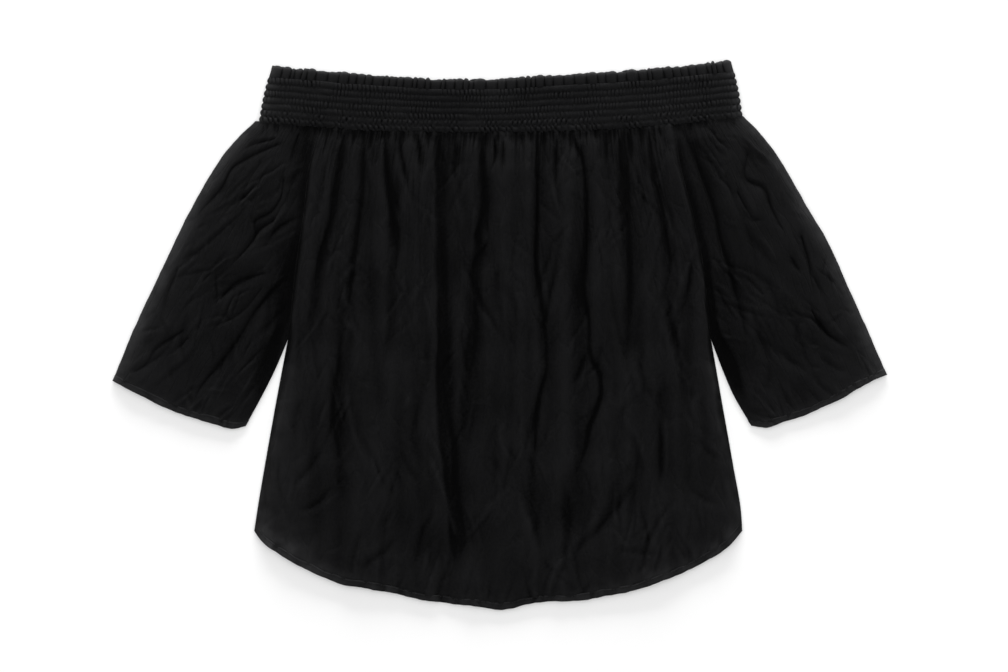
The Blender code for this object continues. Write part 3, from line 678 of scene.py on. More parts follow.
def mm(values):
    """Millimetres from a table, as an array of metres."""
    return np.array(values, float) * MILLIMETRE


def smoothstep(value):
    """0 below 0, 1 above 1, and a soft slope between."""
    value = np.clip(value, 0, 1)
    return value * value * (3 - 2 * value)


def ramp(distance, start, end):
    """0 at a start and 1 at an end, both in millimetres, with a soft slope between."""
    return smoothstep((distance - mm(start)) / mm(end - start))


def between(start, end, share):
    """The value or point at a share of the way from start to end."""
    return start + (end - start) * share


def hump(off, width):
    """1 in the middle of a soft hump, and nearly 0 from twice its width off."""
    return np.exp(-((off / width) ** 2))


# Plans: the outline of each piece on the table.


def curve(points):
    """A smooth line through points in plan: its places at shares of its length."""
    points = np.array(points, float)
    steps = np.hypot(*np.diff(points, axis=0).T)
    along = np.concatenate([[0], np.cumsum(steps)]) / steps.sum()
    slopes = np.gradient(points, along, axis=0)

    def at(share):
        share = np.asarray(share, float)
        start = np.clip(np.searchsorted(along, share) - 1, 0, len(along) - 2)
        length = (along[start + 1] - along[start])[..., None]
        t = (share - along[start])[..., None] / length
        ahead = t * t * (3 - 2 * t)
        leaving = t * (1 - t) ** 2 * length
        arriving = t * t * (t - 1) * length
        place = (1 - ahead) * points[start] + ahead * points[start + 1]
        return place + leaving * slopes[start] + arriving * slopes[start + 1]

    return at


def joined(upper, lower, bend):
    """Two curves end to end, as one whose share is bend where they meet."""

    def at(share):
        share = np.asarray(share, float)
        first = upper(np.clip(share / bend, 0, 1))
        second = lower(np.clip((share - bend) / (1 - bend), 0, 1))
        return np.where((share <= bend)[..., None], first, second)

    return at


def patch(top, foot, first, last):
    """The plan of a four-sided piece: its points at shares across and down."""

    def at(across, down):
        across, down = np.broadcast_arrays(np.asarray(across, float), np.asarray(down, float))
        u, v = across[..., None], down[..., None]
        between_ends = (1 - v) * top(across) + v * foot(across)
        between_sides = (1 - u) * first(down) + u * last(down)
        high_corners = (1 - u) * top(0.0) + u * top(1.0)
        low_corners = (1 - u) * foot(0.0) + u * foot(1.0)
        return between_ends + between_sides - (1 - v) * high_corners - v * low_corners

    return at


def neck_line(ends, heights):
    """A line across the neck, between two ends in x, with its y from one column of the table."""
    across = np.interp([level.share for level in NECK_LEVELS], [0, 1], ends)
    return curve(mm(list(zip(across, heights))))


NECK_TOP = neck_line(NECK_TOP_ENDS, [level.top_y for level in NECK_LEVELS])
NECK_FOOT = neck_line(NECK_FOOT_ENDS, [level.foot_y for level in NECK_LEVELS])


def edge_points(side, levels):
    """Points of one edge of the body, from the column of a table for that side."""
    column = "right_x" if side.toward < 0 else "left_x"
    return [mm((getattr(level, column), level.y)) for level in levels]


def raglan_points(side):
    """The raglan seam of one side, from the foot of the band to the armpit."""
    top = NECK_FOOT(RAGLAN_SHARES[0 if side.toward < 0 else 1])
    return [top, *edge_points(side, RAGLAN_LEVELS)]


def side_points(side):
    """The side seam from the armpit down to the hem's corner."""
    return edge_points(side, [RAGLAN_LEVELS[-1], *SIDE_LEVELS])


def underarm_points(side):
    """The sleeve's own seam from the armpit down to the cuff."""
    return [raglan_points(side)[-1], *mm(side.underarm)]


def length_of(points):
    """The length of a line through points."""
    return np.hypot(*np.diff(np.array(points), axis=0).T).sum()


def armpit_share(side, below):
    """How far down an edge its raglan seam ends, when the seam through below goes on from it."""
    raglan = length_of(raglan_points(side))
    return raglan / (raglan + length_of(below))


def raglan_and(side, below):
    """The edge that runs down the raglan seam and then along the seam through below."""
    return joined(curve(raglan_points(side)), curve(below), armpit_share(side, below))


def body_plan():
    """The plan that the front and the back share, from the band to the outer edge of the hem."""
    hem = curve([side_points(RIGHT)[-1], *mm(HEM_LINE), side_points(LEFT)[-1]])
    edges = [raglan_and(side, side_points(side)) for side in (RIGHT, LEFT)]
    return patch(lambda share: NECK_FOOT(between(*RAGLAN_SHARES, share)), hem, *edges)


def sleeve_plan(side):
    """One sleeve's plan: across from the raglan and underarm seam to the shoulder fold."""
    inner = raglan_and(side, underarm_points(side))
    outer = curve(mm(side.shoulder))
    cuff = curve([inner(1.0), *mm(side.cuff), outer(1.0)])
    seam = (RAGLAN_SHARES[0], 0) if side.toward < 0 else (RAGLAN_SHARES[1], 1)

    def top(share):
        share = np.asarray(share, float)
        off = (1 - share)[..., None] * (inner(0.0) - NECK_FOOT(seam[0]))
        off = off + share[..., None] * (outer(0.0) - NECK_FOOT(seam[1]))
        return NECK_FOOT(between(*seam, share)) + off

    return patch(top, cuff, inner, outer)


def neck_plan():
    """The plan of the frill and the band, from the frill's edge to the band's foot."""
    ends = []
    for share, outward in ((0.0, -1), (1.0, 1)):
        top, foot = NECK_TOP(share), NECK_FOOT(share)
        middle = between(top, foot, NECK_BULGE_SHARE) + mm((outward * NECK_END_BULGE, 0))
        ends.append(curve([top, middle, foot]))
    return patch(NECK_TOP, NECK_FOOT, *ends)


BODY = body_plan()
NECK = neck_plan()


def below_band(places):
    """How far points lie below the foot of the band."""
    first, last = mm(NECK_FOOT_ENDS)
    share = (places[:, 0] - first) / (last - first)
    return np.maximum(NECK_FOOT(np.clip(share, 0, 1))[:, 1] - places[:, 1], 0)


def body_inset(places):
    """How far points of the body lie in from its nearer side edge."""
    edges = []
    for side in (RIGHT, LEFT):
        points = np.array(raglan_points(side) + side_points(side)[1:])[::-1]
        edges.append(np.interp(places[:, 1], points[:, 1], points[:, 0]))
    return np.minimum(places[:, 0] - edges[0], edges[1] - places[:, 0])


# Folds: how a piece of cloth rises and falls.


def drift(places, size, seed):
    """Soft uneven values from about -1 to 1, which change over a distance in x and in y."""
    dice = np.random.default_rng(seed)
    angles = dice.uniform(0, 2 * math.pi, (DRIFT_CELLS, DRIFT_CELLS))
    spot = places / np.asarray(size) + dice.uniform(0, DRIFT_CELLS, 2)
    corner = np.floor(spot).astype(int)
    part = spot - corner
    ease = part ** 3 * (part * (part * 6 - 15) + 10)
    total = np.zeros(len(places))
    for right in (0, 1):
        for up in (0, 1):
            angle = angles[(corner[:, 0] + right) % DRIFT_CELLS, (corner[:, 1] + up) % DRIFT_CELLS]
            slope = (part[:, 0] - right) * np.cos(angle) + (part[:, 1] - up) * np.sin(angle)
            share_x = ease[:, 0] if right else 1 - ease[:, 0]
            share_y = ease[:, 1] if up else 1 - ease[:, 1]
            total += slope * share_x * share_y
    return DRIFT_GAIN * total


def uneven(places, patterns, seed=0):
    """The sum of soft patterns at points in plan."""
    return sum(
        pattern.amount * drift(places + pattern.shift, pattern.size, seed + pattern.seed)
        for pattern in patterns
    )


def on_line(x, y=0.0):
    """Points in plan for a pattern that varies along an edge."""
    return np.stack([x, np.zeros_like(x) + y], 1)


def waves(along, kinds, number):
    """The sum of a valley's waves at distances from its start."""
    return sum(kind.amount * np.sin(along / kind.length + kind.shift * number) for kind in kinds)


def rise_at(rises, below):
    """How high cloth stands at distances below the band."""
    table = mm(rises)
    return np.interp(below, table[:, 0], table[:, 1])


def beside(places, line, reach):
    """Which points lie near a line, how far beside it, and how far from its start and its end."""
    line = curve(mm(line))
    count = max(int(length_of(line(np.linspace(0, 1, 20))) / LINE_STEP), 2)
    knots = line(np.linspace(0, 1, count + 1))
    low, high = knots.min(0) - reach, knots.max(0) + reach
    near = np.flatnonzero(((places > low) & (places < high)).all(1))
    starts, runs = knots[:-1], np.diff(knots, axis=0)
    away = places[near, None] - starts
    along = np.clip((away * runs).sum(2) / (runs * runs).sum(1), 0, 1)
    off = away - along[..., None] * runs
    distance = np.hypot(off[..., 0], off[..., 1])
    nearest = distance.argmin(1)
    rows = np.arange(len(near))
    side = runs[nearest, 0] * off[rows, nearest, 1] - runs[nearest, 1] * off[rows, nearest, 0]
    signed = np.copysign(distance[rows, nearest], side)
    start = (nearest + along[rows, nearest]) * length_of(knots) / count
    return near, signed, start, length_of(knots) - start


def valley_share(places, valleys):
    """The share of the pleats' height that the valleys between them leave at each point.

    A valley is a sharp trough in a broad one, with a steep side and a gradual one. It opens up
    below its start and closes again before its end, and its width and depth vary on the way.
    """
    left = np.ones(len(places))
    for number, valley in enumerate(valleys):
        width = valley.width * MILLIMETRE
        near, off, start, end = beside(places, valley.line, VALLEY_REACH * width)
        length = start + end

        def eased(distance, ease):
            return smoothstep(distance / np.minimum(ease.distance, ease.share * length))

        opened = eased(start, VALLEY_OPENS)
        taper = between(VALLEY_START_WIDTH, 1, opened)
        taper *= between(VALLEY_END_WIDTH, 1, eased(end, VALLEY_TAPERS))
        lean = valley.lean or SLIGHT_LEAN * (-1) ** number
        slope = SHARP_WIDTH * width * (1 + waves(start, VALLEY_WIDTH_WAVES, number)) * taper
        slope = slope * np.where(off > 0, 1 + lean, 1 - lean)
        # The steep side is nearly a step in a broad hollow. The gradual one has a soft foot,
        # but in a narrow valley it is rounder.
        steep = max(1.25 + valley.width / 10, 3.1 - valley.width / 2)
        gradual = min(1.35 + max(3 - valley.width, 0), 2)
        sharp = np.exp(-np.abs(off / slope) ** np.where(off * lean > 0, gradual, steep))
        trough = SHARP_TROUGH * sharp + BROAD_TROUGH * hump(off, BROAD_WIDTH * width)
        depth = between(VALLEY_START_DEPTH, 1, opened) * eased(end, VALLEY_CLOSES)
        depth *= 1 - VALLEY_DEPTH_WAVES[0].amount + waves(start, VALLEY_DEPTH_WAVES, number)
        left[near] *= 1 - valley.cut * trough * depth
    return left


def gather_lines(gathers):
    """Valleys straight down from the band, one for each short gather."""
    lines = []
    for gather in gathers:
        y = NECK_FOOT(np.interp(gather.x, NECK_FOOT_ENDS, (0, 1)))[1] / MILLIMETRE
        lean = gather.x * gather.length / GATHER_FAN
        sway = GATHER_SWAY * math.sin(7 * gather.x)
        middle = (gather.x + lean / 2 + sway, y - gather.length / 2)
        line = [(gather.x, y + 2), middle, (gather.x + lean, y - gather.length)]
        lines.append(Valley(line, gather.width, gather.cut))
    return lines


def fine_gathers(first_x, last_x, seed):
    """The small gathers between the others, short and unevenly spaced along the band."""
    dice = np.random.default_rng(seed)
    gathers = []
    x = first_x
    while x < last_x:
        gathers.append(Gather(x, *(dice.uniform(*measure) for measure in FINE_GATHER[1:])))
        x += dice.uniform(*FINE_GATHER.x)
    return gathers


def bank_beside(off, width, bank, side):
    """The low bank along one side of a crease or a crinkle."""
    return bank.height * hump(off - bank.away * side * width, bank.width * width)


def crease_rise(places, creases):
    """How far creases raise or lower points, with a low bank along the other side of each."""
    total = np.zeros(len(places))
    for number, crease in enumerate(creases):
        width = crease.width * MILLIMETRE
        near, off, start, end = beside(places, crease.line, CREASE_REACH * width)
        bank = bank_beside(off, width, CREASE_BANK, 1 if number % 2 else -1)
        profile = np.exp(-np.abs(off / width) ** CREASE_POWER) - bank
        fade = ramp(start, *CREASE_STARTS) * ramp(end, *CREASE_ENDS)
        total[near] += crease.rise * MILLIMETRE * profile * fade
    return total


def crinkles(places, tilt, seed):
    """The crumpling of worn cotton: short creases at random, mostly down the piece.

    Each is a thin trough with a low ridge beside it. They lie closer in some places than in
    others, and tilt turns them all.
    """
    dice = np.random.default_rng(seed)
    low, high = places.min(0), places.max(0)
    total = np.zeros(len(places))
    wander = uneven(places, CRINKLE_WANDER, seed)
    for kind in CRINKLES:
        count = int(kind.per_square_metre * np.prod(high - low))
        centres = dice.uniform(low, high, (count, 2))
        crowded = smoothstep(CRINKLE_SHARE + uneven(centres, CRINKLE_CROWDS, seed + kind.seed))
        for centre, share in zip(centres, crowded):
            turn = tilt + math.radians(dice.normal(0, kind.spread))
            half = dice.uniform(*kind.lengths) / 2
            width = dice.uniform(*kind.widths)
            rise = share * kind.rise * dice.uniform(*CRINKLE_RISES) * dice.choice([-1, -1, 1])
            bend = dice.normal(0, CRINKLE_BEND)
            ridge_side = dice.choice([-1, 1])
            away = places - centre
            near = np.flatnonzero((np.abs(away) < half + CRINKLE_REACH * width).all(1))
            x, y = away[near].T
            along = y * math.cos(turn) - x * math.sin(turn)
            off = x * math.cos(turn) + y * math.sin(turn) + bend * along ** 2 + wander[near]
            trough = hump(off, width * (1 - CRINKLE_TAPER * np.clip(np.abs(along) / half, 0, 1)))
            ridge = bank_beside(off, width, CRINKLE_BANK, ridge_side)
            fade = np.clip(1 - (along / half) ** 2, 0, 1) ** CRINKLE_FADE
            total[near] += rise * (trough - ridge) * fade
    return total


def seam_slope(places):
    """How wide the slope beside a seam is: short at the raglan seams, longer below the armpits."""
    slope = between(RAGLAN_SLOPE, SIDE_SLOPE, ramp(places[:, 1], *SIDE_SLOPE_BEGINS))
    return slope * (1 + uneven(places, SLOPE_UNEVEN))


def base_height(places, inset):
    """The height that pleats rise from, and how much of it is the seam's own lift.

    It is low at the side seams and in the middle of a panel. Along the raglan seams the
    gathers carry it up, and at the band it meets the band's foot.
    """
    y = places[:, 1]
    clear = ramp(below_band(places), *CLEAR_OF_BAND)
    lifted = SEAM_LIFT * ramp(y, *LIFT_BEGINS) * (1 - smoothstep(inset / SEAM_REACH)) * clear
    base = between(SIDE_SEAM, ARMHOLE, ramp(y, *ARMHOLE_BEGINS))
    return between(BAND_FOOT, base, clear) + lifted, lifted


def under_band(places, lap):
    """Lets the top edge of a panel run a little way up under the band."""
    places = places.copy()
    places[:, 1] += lap * (1 - ramp(below_band(places), *OUT_OF_BAND))
    return places


def soft_floor(lift):
    """A lift that never falls below the layer under it."""
    return LEAST_LIFT * np.logaddexp(0, lift / LEAST_LIFT)


def front_height(places):
    """The middle of the front above the table, and how deep each point lies in a valley, as painted shade.
    """
    below = below_band(places)
    inset = body_inset(places)
    base, lifted = base_height(places, inset)
    edge = smoothstep(inset / seam_slope(places))
    lift = np.maximum(rise_at(FRONT_RISES, below) - lifted, 0) * edge
    lift *= 1 + uneven(places, FRONT_UNEVEN)
    gathers = FRONT_GATHERS + fine_gathers(*FRONT_GATHERED, FRONT_GATHER_SEED)
    left = valley_share(places, FRONT_VALLEYS + FRONT_HOLLOWS + gather_lines(gathers))
    crumpled = crinkles(places, 0, FRONT_CRINKLE_SEED) * between(1, HEM_CRINKLES, ramp(below, *HEMWARD))
    creased = edge * ramp(below, *LOOSE) * (crease_rise(places, FRONT_CREASES) + crumpled)
    return base + soft_floor(lift * left + creased), 1 - left


def back_height(places):
    """The middle of the back, which lies on the table but for a few creases."""
    crumpled = BACK_CRINKLES * np.maximum(crinkles(places, 0, BACK_CRINKLE_SEED), 0)
    creases = np.maximum(crease_rise(places, BACK_CREASES) + crumpled, 0)
    return LOW + smoothstep(body_inset(places) / SIDE_SLOPE) * creases


def sleeve_height(side, places, inner, outer):
    """The middle of a sleeve's upper layer, and how deep each point lies in a valley, as painted shade."""
    below = below_band(places)
    base, lifted = base_height(places, inner)
    edge = smoothstep(inner / (SLEEVE_SEAM_WIDER * seam_slope(places)))
    shoulder = smoothstep(outer / SHOULDER_SLOPE)
    lift = np.maximum(rise_at(SLEEVE_RISES, below) - lifted, 0) * edge
    lift *= between(SHOULDER_SHARE, 1, shoulder) * (1 + uneven(places, SLEEVE_UNEVEN))
    gathers = side.gathers + fine_gathers(*side.gathered, SLEEVE_GATHER_SEED + side.toward)
    left = valley_share(places, side.valleys + gather_lines(gathers))
    crumpled = crinkles(places, side.toward * SLEEVE_TILT, SLEEVE_CRINKLE_SEED + side.toward)
    creased = edge * shoulder * ramp(below, *LOOSE) * (crease_rise(places, side.creases) + crumpled)
    # Painted shade in the valleys, darker beside the inner seam and more so farther down it.
    seam_shade = between(*INNER_SEAM_SHADES, ramp(below, *BELOW_ARMPIT))
    shade = between(seam_shade, SLEEVE_SHADE, ramp(inner, *BESIDE_SEAM))
    return base + soft_floor(lift * left + creased), (1 - left) * shade


# Painted light, as of the table coming through thin cloth, and fine pleats.


def painted_glow(distance, strength):
    """How much painted light, as of the white table showing through the thin cloth, falls near an edge."""
    distance = np.maximum(distance, 0)
    near = NEAR_GLOW.share * hump(distance, NEAR_GLOW.reach)
    return strength * (near + FAR_GLOW.share * np.exp(-distance / FAR_GLOW.reach))


def body_painted_glow(places):
    """How thin the body's cloth looks, as painted light: along its hem, most at the right corner, and its
    sides.
    """
    x, y = places.T
    corner = ramp(x, *CORNER)
    left = ramp(x, *LEFT_PART)
    middle, width = mm(DULL_PART)
    strength = HEM_GLOW + CORNER_GLOW.share * corner + LEFT_GLOW.share * left
    strength += DULL_GLOW * hump(x - middle, width)
    reach = 1 + CORNER_GLOW.reach * corner + LEFT_GLOW.reach * left
    cloudy = 1 + uneven(places, BODY_CLOUDS)
    hem = y - np.interp(x, *mm(HEM_LINE).T)
    side = SIDE_GLOW_NARROWER * (body_inset(places) + ramp(y, *SIDE_GLOW_ENDS))
    thin = painted_glow(hem / reach, strength * cloudy)
    return np.clip(thin + painted_glow(side, between(*SIDE_GLOWS, x > 0) * cloudy), 0, 1)


def drawn_share(places, reach):
    """How finely the gathers pleat the cloth below the band, unevenly from place to place."""
    below = below_band(places)
    patchy = np.clip(DRAWN_SHARE + uneven(places, DRAWN_UNEVEN), 0, MOST_DRAWN)
    return np.exp(-below / reach) * patchy + BAND_DRAWN_SHARE * np.exp(-below / BAND_DRAWN)


# Pieces.


def new_piece(name, mesh, cloth, node):
    """Puts a mesh in the scene as a piece that stands for a node of the frame."""
    piece = bpy.data.objects.new(name, mesh)
    bpy.context.scene.collection.objects.link(piece)
    mesh.materials.append(cloth.finish)
    mesh.shade_smooth()
    if cloth.wall:
        shell = piece.modifiers.new("wall", "SOLIDIFY")
        shell.thickness = cloth.wall
        shell.offset = 0
    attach(piece, "root")
    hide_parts(node)
    return piece


def softened(heights, passes):
    """A grid of heights, blurred by a number of passes along each of its axes."""
    for axis, count in enumerate(passes):
        for _ in range(count):
            wide = np.pad(heights, [(1, 1) if a == axis else (0, 0) for a in (0, 1)], "edge")
            before = wide.take(range(0, wide.shape[axis] - 2), axis)
            after = wide.take(range(2, wide.shape[axis]), axis)
            heights = (before + 2 * heights + after) / 4
    return heights


def crest_of(heights, passes):
    """How far each grid point stands out of the cloth around it: 0 in a valley, 1 on a crest, as painted
    shade.
    """
    fine = softened(heights, [max(count // 8, 1) for count in passes])
    broad = (fine - softened(heights, passes)) / CREST_RANGE
    sharp = (heights - fine) / SHARP_RANGE
    return np.clip(LEVEL_CREST + broad + sharp, 0, 1)


def lay_cloth(name, grid, place, cut, cloth, passes=CLOTH_PASSES, seam_row=None, ring=False, contrast=1):
    """A piece of cloth: a grid of faces whose points place(step, row) puts in their places.

    The mesh keeps the cut's own measures as its UV map, for the weave. Its attributes say how
    far each point stands out, "crest", which the finish paints as shade and highlight, how much
    painted light it gets, as of the table showing through, "thin", and how far the gathers
    pleat it finely, "drawn". The place also says how sunk the point is, which darkens "crest"
    with painted shade. A tube is sewn up from its seam row down, and a ring all the way.
    """
    columns, rows = grid
    sheet = bmesh.new()
    bmesh.ops.create_grid(sheet, x_segments=columns, y_segments=rows, size=0.5)
    if seam_row is not None:
        bridge_near_edge(sheet, rows, seam_row)
    mesh = bpy.data.meshes.new(name)
    sheet.to_mesh(mesh)
    sheet.free()
    flat = np.empty(3 * len(mesh.vertices), np.float32)
    mesh.vertices.foreach_get("co", flat)
    step = np.rint((flat[0::3] + 0.5) * columns).astype(int)
    row = np.rint((0.5 - flat[1::3]) * rows).astype(int)
    places, marks = place(step, row)
    mesh.vertices.foreach_set("co", places.astype(np.float32).ravel())
    heights = np.zeros((rows + 1, columns + 1))
    heights[row, step] = contrast * places[:, 2]
    # Painted shade: sunk points are darker.
    crest = crest_of(heights, passes)[row, step] - SUNK_SHADE * marks.sunk ** SUNK_POWER
    for mark, values in (("crest", np.clip(crest, 0, 1)), ("thin", marks.thin), ("drawn", marks.drawn)):
        attribute = mesh.attributes.new(mark, "FLOAT", "POINT")
        attribute.data.foreach_set("value", np.broadcast_to(values, crest.shape).astype(np.float32))
    weave = mesh.uv_layers.new(name="cut")
    corners = np.empty(len(mesh.loops), int)
    mesh.loops.foreach_get("vertex_index", corners)
    spread = np.stack([step / columns * cut[0], -row / rows * cut[1]], 1)[corners]
    weave.data.foreach_set("uv", spread.astype(np.float32).ravel())
    if ring:
        close_ring(mesh)
    mesh.update()
    return new_piece(name + "_cloth", mesh, cloth, name)


def bridge_near_edge(sheet, rows, first_row):
    """Joins the grid's first and last columns from a row down, as the seam under an arm."""
    edges = []
    for edge in sheet.edges:
        (x, y), (other_x, other_y) = (vert.co.xy for vert in edge.verts)
        outer = abs(abs(x) - 0.5) < SAME and abs(x - other_x) < SAME
        if outer and (0.5 - max(y, other_y)) * rows > first_row - 0.5:
            edges.append(edge)
    bmesh.ops.bridge_loops(sheet, edges=edges)


def close_ring(mesh):
    """Merges the two ends of a grid that goes all the way round."""
    ring = bmesh.new()
    ring.from_mesh(mesh)
    ends = [vert for vert in ring.verts if vert.is_boundary]
    bmesh.ops.remove_doubles(ring, verts=ends, dist=SAME)
    ring.to_mesh(mesh)
    ring.free()


def hem_share(depth):
    """How far down each column of the body the hem starts, when it is depth deep square to it."""

    def at(across):
        column = BODY(across, 1.0) - BODY(across, 1 - TRIAL)
        edge = BODY(np.clip(across + TRIAL, 0, 1), 1.0) - BODY(np.clip(across - TRIAL, 0, 1), 1.0)
        turned = np.abs(column[:, 0] * edge[:, 1] - column[:, 1] * edge[:, 0])
        length = np.hypot(*column.T)
        slant = np.maximum(turned / (length * np.hypot(*edge.T)), LEAST_SLANT)
        return 1 - TRIAL * depth / (slant * length)

    return at


def make_panel(name, grid, cut, tuck, lay, cloth):
    """A panel of the body, down to where it tucks into its hem. Lay gives its points and marks."""
    columns, rows = grid
    depth = hem_share(tuck)

    def place(step, row):
        across = step / columns
        return lay(BODY(across, row / rows * depth(across)))

    return lay_cloth(name, grid, place, cut, cloth)


def lay_front(places):
    """The gathered front panel, tucked a little way under the band."""
    height, sunk = front_height(places)
    marks = Marks(body_painted_glow(places), sunk, drawn_share(places, FRONT_DRAWN))
    return np.column_stack([under_band(places, LAP), height]), marks


def lay_back(places):
    """The back panel, flat on the table."""
    return np.column_stack([places, back_height(places)]), Marks(0)


def hem_wander(x, part, upper, seeds):
    """How far a hem's inner edge strays, on its upper side, and its outer edge all round."""
    inner = uneven(on_line(x), HEM_WANDER, seeds.wander) * (1 - part) * upper
    return inner + uneven(on_line(x), EDGE_WANDER, seeds.edge) * part


def hem_pucker(x, part, seeds):
    """The slight puckering of a stitched hem, most at its inner edge, which is tucked down."""
    spots = on_line(x + 0.003 * part, 0.1 * seeds.pucker)
    return uneven(spots, HEM_PUCKER, seeds.pucker) * (1 - 0.5 * part) - HEM_STEP * (part == 0)


def stitch_shade(places, part):
    """The painted shade of a hem along its stitches, which draw it in more in some places."""
    pull = np.clip(STITCH_PULL_SHARE + uneven(places[:, :2], STITCH_PULL), 0, 1)
    return STITCH_SHADE * pull * hump(part - STITCH_LINE, STITCH_LINE_WIDTH)


def make_hem(name, columns, upper, cloth):
    """The turned hem of the front, if upper is 1, or of the back, and what places its points."""
    start = hem_share(HEM_DEPTH)

    def place(step, row):
        across, part = step / columns, row / HEM_ROWS
        places = BODY(across, between(start(across), 1, part))
        places[:, 1] += hem_wander(places[:, 0], part, upper, BODY_HEM)
        height, sunk = np.full(len(places), LOW_HEM), 0
        if upper:
            height, sunk = front_height(places)
            height = np.maximum(height + HEM_OVER_CLOTH, HEM_HIGH)
            height += hem_pucker(places[:, 0], part, BODY_HEM)
            sunk = np.maximum(sunk, stitch_shade(places, part))
        return np.column_stack([places, height]), Marks(HEM_GLOW_SHARE * body_painted_glow(places), sunk)

    return lay_cloth(name, (columns, HEM_ROWS), place, (PANEL_CUT[0], HEM_DEPTH), cloth), place


def sew(name, node, place, steps, rows, wall, stitch, thread):
    """Stitches on the upper side of a wall, along some rows of the grid that place lays."""
    dice = np.random.default_rng(len(rows))
    stitches = []
    for row in rows:
        line = place(steps, np.full(len(steps), row))[0]
        along = np.concatenate([[0], np.cumsum(np.linalg.norm(np.diff(line, axis=0), axis=1))])
        for middle in np.arange(stitch.pitch, along[-1] - stitch.pitch, stitch.pitch):
            middle += dice.uniform(-STITCH_STRAY, STITCH_STRAY) * stitch.pitch
            ends = middle + np.array([-0.5, 0.5]) * stitch.length
            first, last = (Vector([np.interp(end, along, axis) for axis in line.T]) for end in ends)
            spot = (first + last) / 2 + Vector((0, 0, wall / 2))
            turn = (last - first).to_track_quat("X", "Z").to_matrix().to_4x4()
            size = Matrix.Diagonal((stitch.length, stitch.width, STITCH_FLATNESS * stitch.width, 1))
            stitches.append(Matrix.Translation(spot) @ turn @ size)
    seam = bmesh.new()
    mesh = bpy.data.meshes.new(name)
    for start in range(0, len(stitches), STITCH_BATCH):
        batch = bmesh.new()
        for spot in stitches[start:start + STITCH_BATCH]:
            bmesh.ops.create_uvsphere(batch, u_segments=6, v_segments=4, radius=0.5, matrix=spot)
        batch.to_mesh(mesh)
        batch.free()
        seam.from_mesh(mesh)
    seam.to_mesh(mesh)
    seam.free()
    return new_piece(name, mesh, thread, node)


def tube_steps(low, fold, high):
    """A flat tube's columns: the share across of each, which layer it is in, and its turn.

    The layer is 0 in the low one and 1 in the high one. The turn is the outward share of the
    fold's rounding, above 0 only in the fold between the layers.
    """
    turn = np.linspace(-math.pi / 2, math.pi / 2, fold + 2)[1:-1]
    flat_low, flat_high = np.zeros(low + 1), np.zeros(high + 1)
    across = [np.linspace(0, 1, low + 1), np.ones(fold), np.linspace(1, 0, high + 1)]
    layer = [flat_low, 0.5 + 0.5 * np.sin(turn), flat_high + 1]
    outward = [flat_low, np.cos(turn), flat_high]
    return np.array([np.concatenate(parts) for parts in (across, layer, outward)])


def ring_steps(low, fold, high):
    """A flat ring's columns: tube_steps with a second fold, which comes back to the start."""
    turn = np.linspace(math.pi / 2, -math.pi / 2, fold + 2)[1:]
    second = [0 * turn, 0.5 + 0.5 * np.sin(turn), -np.maximum(np.cos(turn), 0)]
    return np.concatenate([tube_steps(low, fold, high), second], 1)


def make_sleeve(side, cloth, hem_cloth, thread):
    """One sleeve and its turned cuff, each a flat tube."""
    plan = sleeve_plan(side)
    length = np.linalg.norm(plan(0.5, 1.0) - plan(0.5, 0.0))

    def lay(column, down, low_height, extra):
        """Points of both layers and of the fold that joins them."""
        across, layer, outward = column
        span = np.linalg.norm(plan(np.ones_like(down), down) - plan(np.zeros_like(down), down), axis=1)
        fold = 1 - FOLD_ROUND / span
        places = plan(across * fold, down)
        height, sunk = sleeve_height(side, places, across * fold * span, (1 - across) * fold * span)
        drawn = drawn_share(places, SLEEVE_DRAWN)
        wander = uneven(on_line(down * length), EDGE_WANDER, FOLD_EDGE_SEED)
        rounded = outward * FOLD_ROUND + wander * layer
        places = np.where((outward > 0)[:, None], plan(fold + rounded / span, down), places)
        places = under_band(places, LAP * layer)
        # Painted light at the shoulder fold and the cuff, as of the table through thin cloth.
        thin = painted_glow((1 - across) * span, side.glow) + painted_glow((1 - down) * length, CUFF_GLOW)
        thin = np.clip(thin * (1 + uneven(places, SLEEVE_CLOUDS)), 0, 1)
        height = between(low_height, height + extra, layer)
        return np.column_stack([places, height]), Marks(thin, sunk * layer, drawn * layer)

    columns = tube_steps(*SLEEVE_COLUMNS)
    foot = 1 - (HEM_DEPTH - LAP) / length

    def place(step, row):
        return lay(columns[:, step], row / SLEEVE_ROWS * foot, LOW, 0)

    name = "sleeve_" + side.name
    grid = (columns.shape[1] - 1, SLEEVE_ROWS)
    armpit = armpit_share(side, underarm_points(side))
    first_row = math.ceil(armpit / foot * SLEEVE_ROWS) + 1
    sleeve = lay_cloth(name, grid, place, SLEEVE_CUT, cloth, seam_row=first_row)

    cuff_columns = tube_steps(*CUFF_COLUMNS)
    cuff_top = 1 - HEM_DEPTH / length

    def cuff_place(step, row):
        column, part = cuff_columns[:, step], row / HEM_ROWS
        upper = column[1]
        places, marks = lay(column, between(cuff_top, 1, part), LOW_HEM, HEM_OVER_CLOTH)
        places[:, 1] += hem_wander(places[:, 0], part, upper, CUFF_HEM)
        places[:, 2] += hem_pucker(places[:, 0], part, CUFF_HEM) * upper
        return places, marks._replace(sunk=np.maximum(marks.sunk, stitch_shade(places, part) * upper))

    name = "cuff_" + side.name
    grid = (cuff_columns.shape[1] - 1, HEM_ROWS)
    cuff = lay_cloth(name, grid, cuff_place, (SLEEVE_CUT[0], HEM_DEPTH), hem_cloth, seam_row=0)
    steps = np.arange(sum(CUFF_COLUMNS[:2]) + STITCHES_START, cuff_columns.shape[1] + STITCHES_END)
    rows = (1, 3) if side is RIGHT else (1,)
    stitches = sew(name + "_stitches", name, cuff_place, steps, rows, HEM_CLOTH, HEM_STITCH, thread)
    return sleeve, [cuff, stitches]


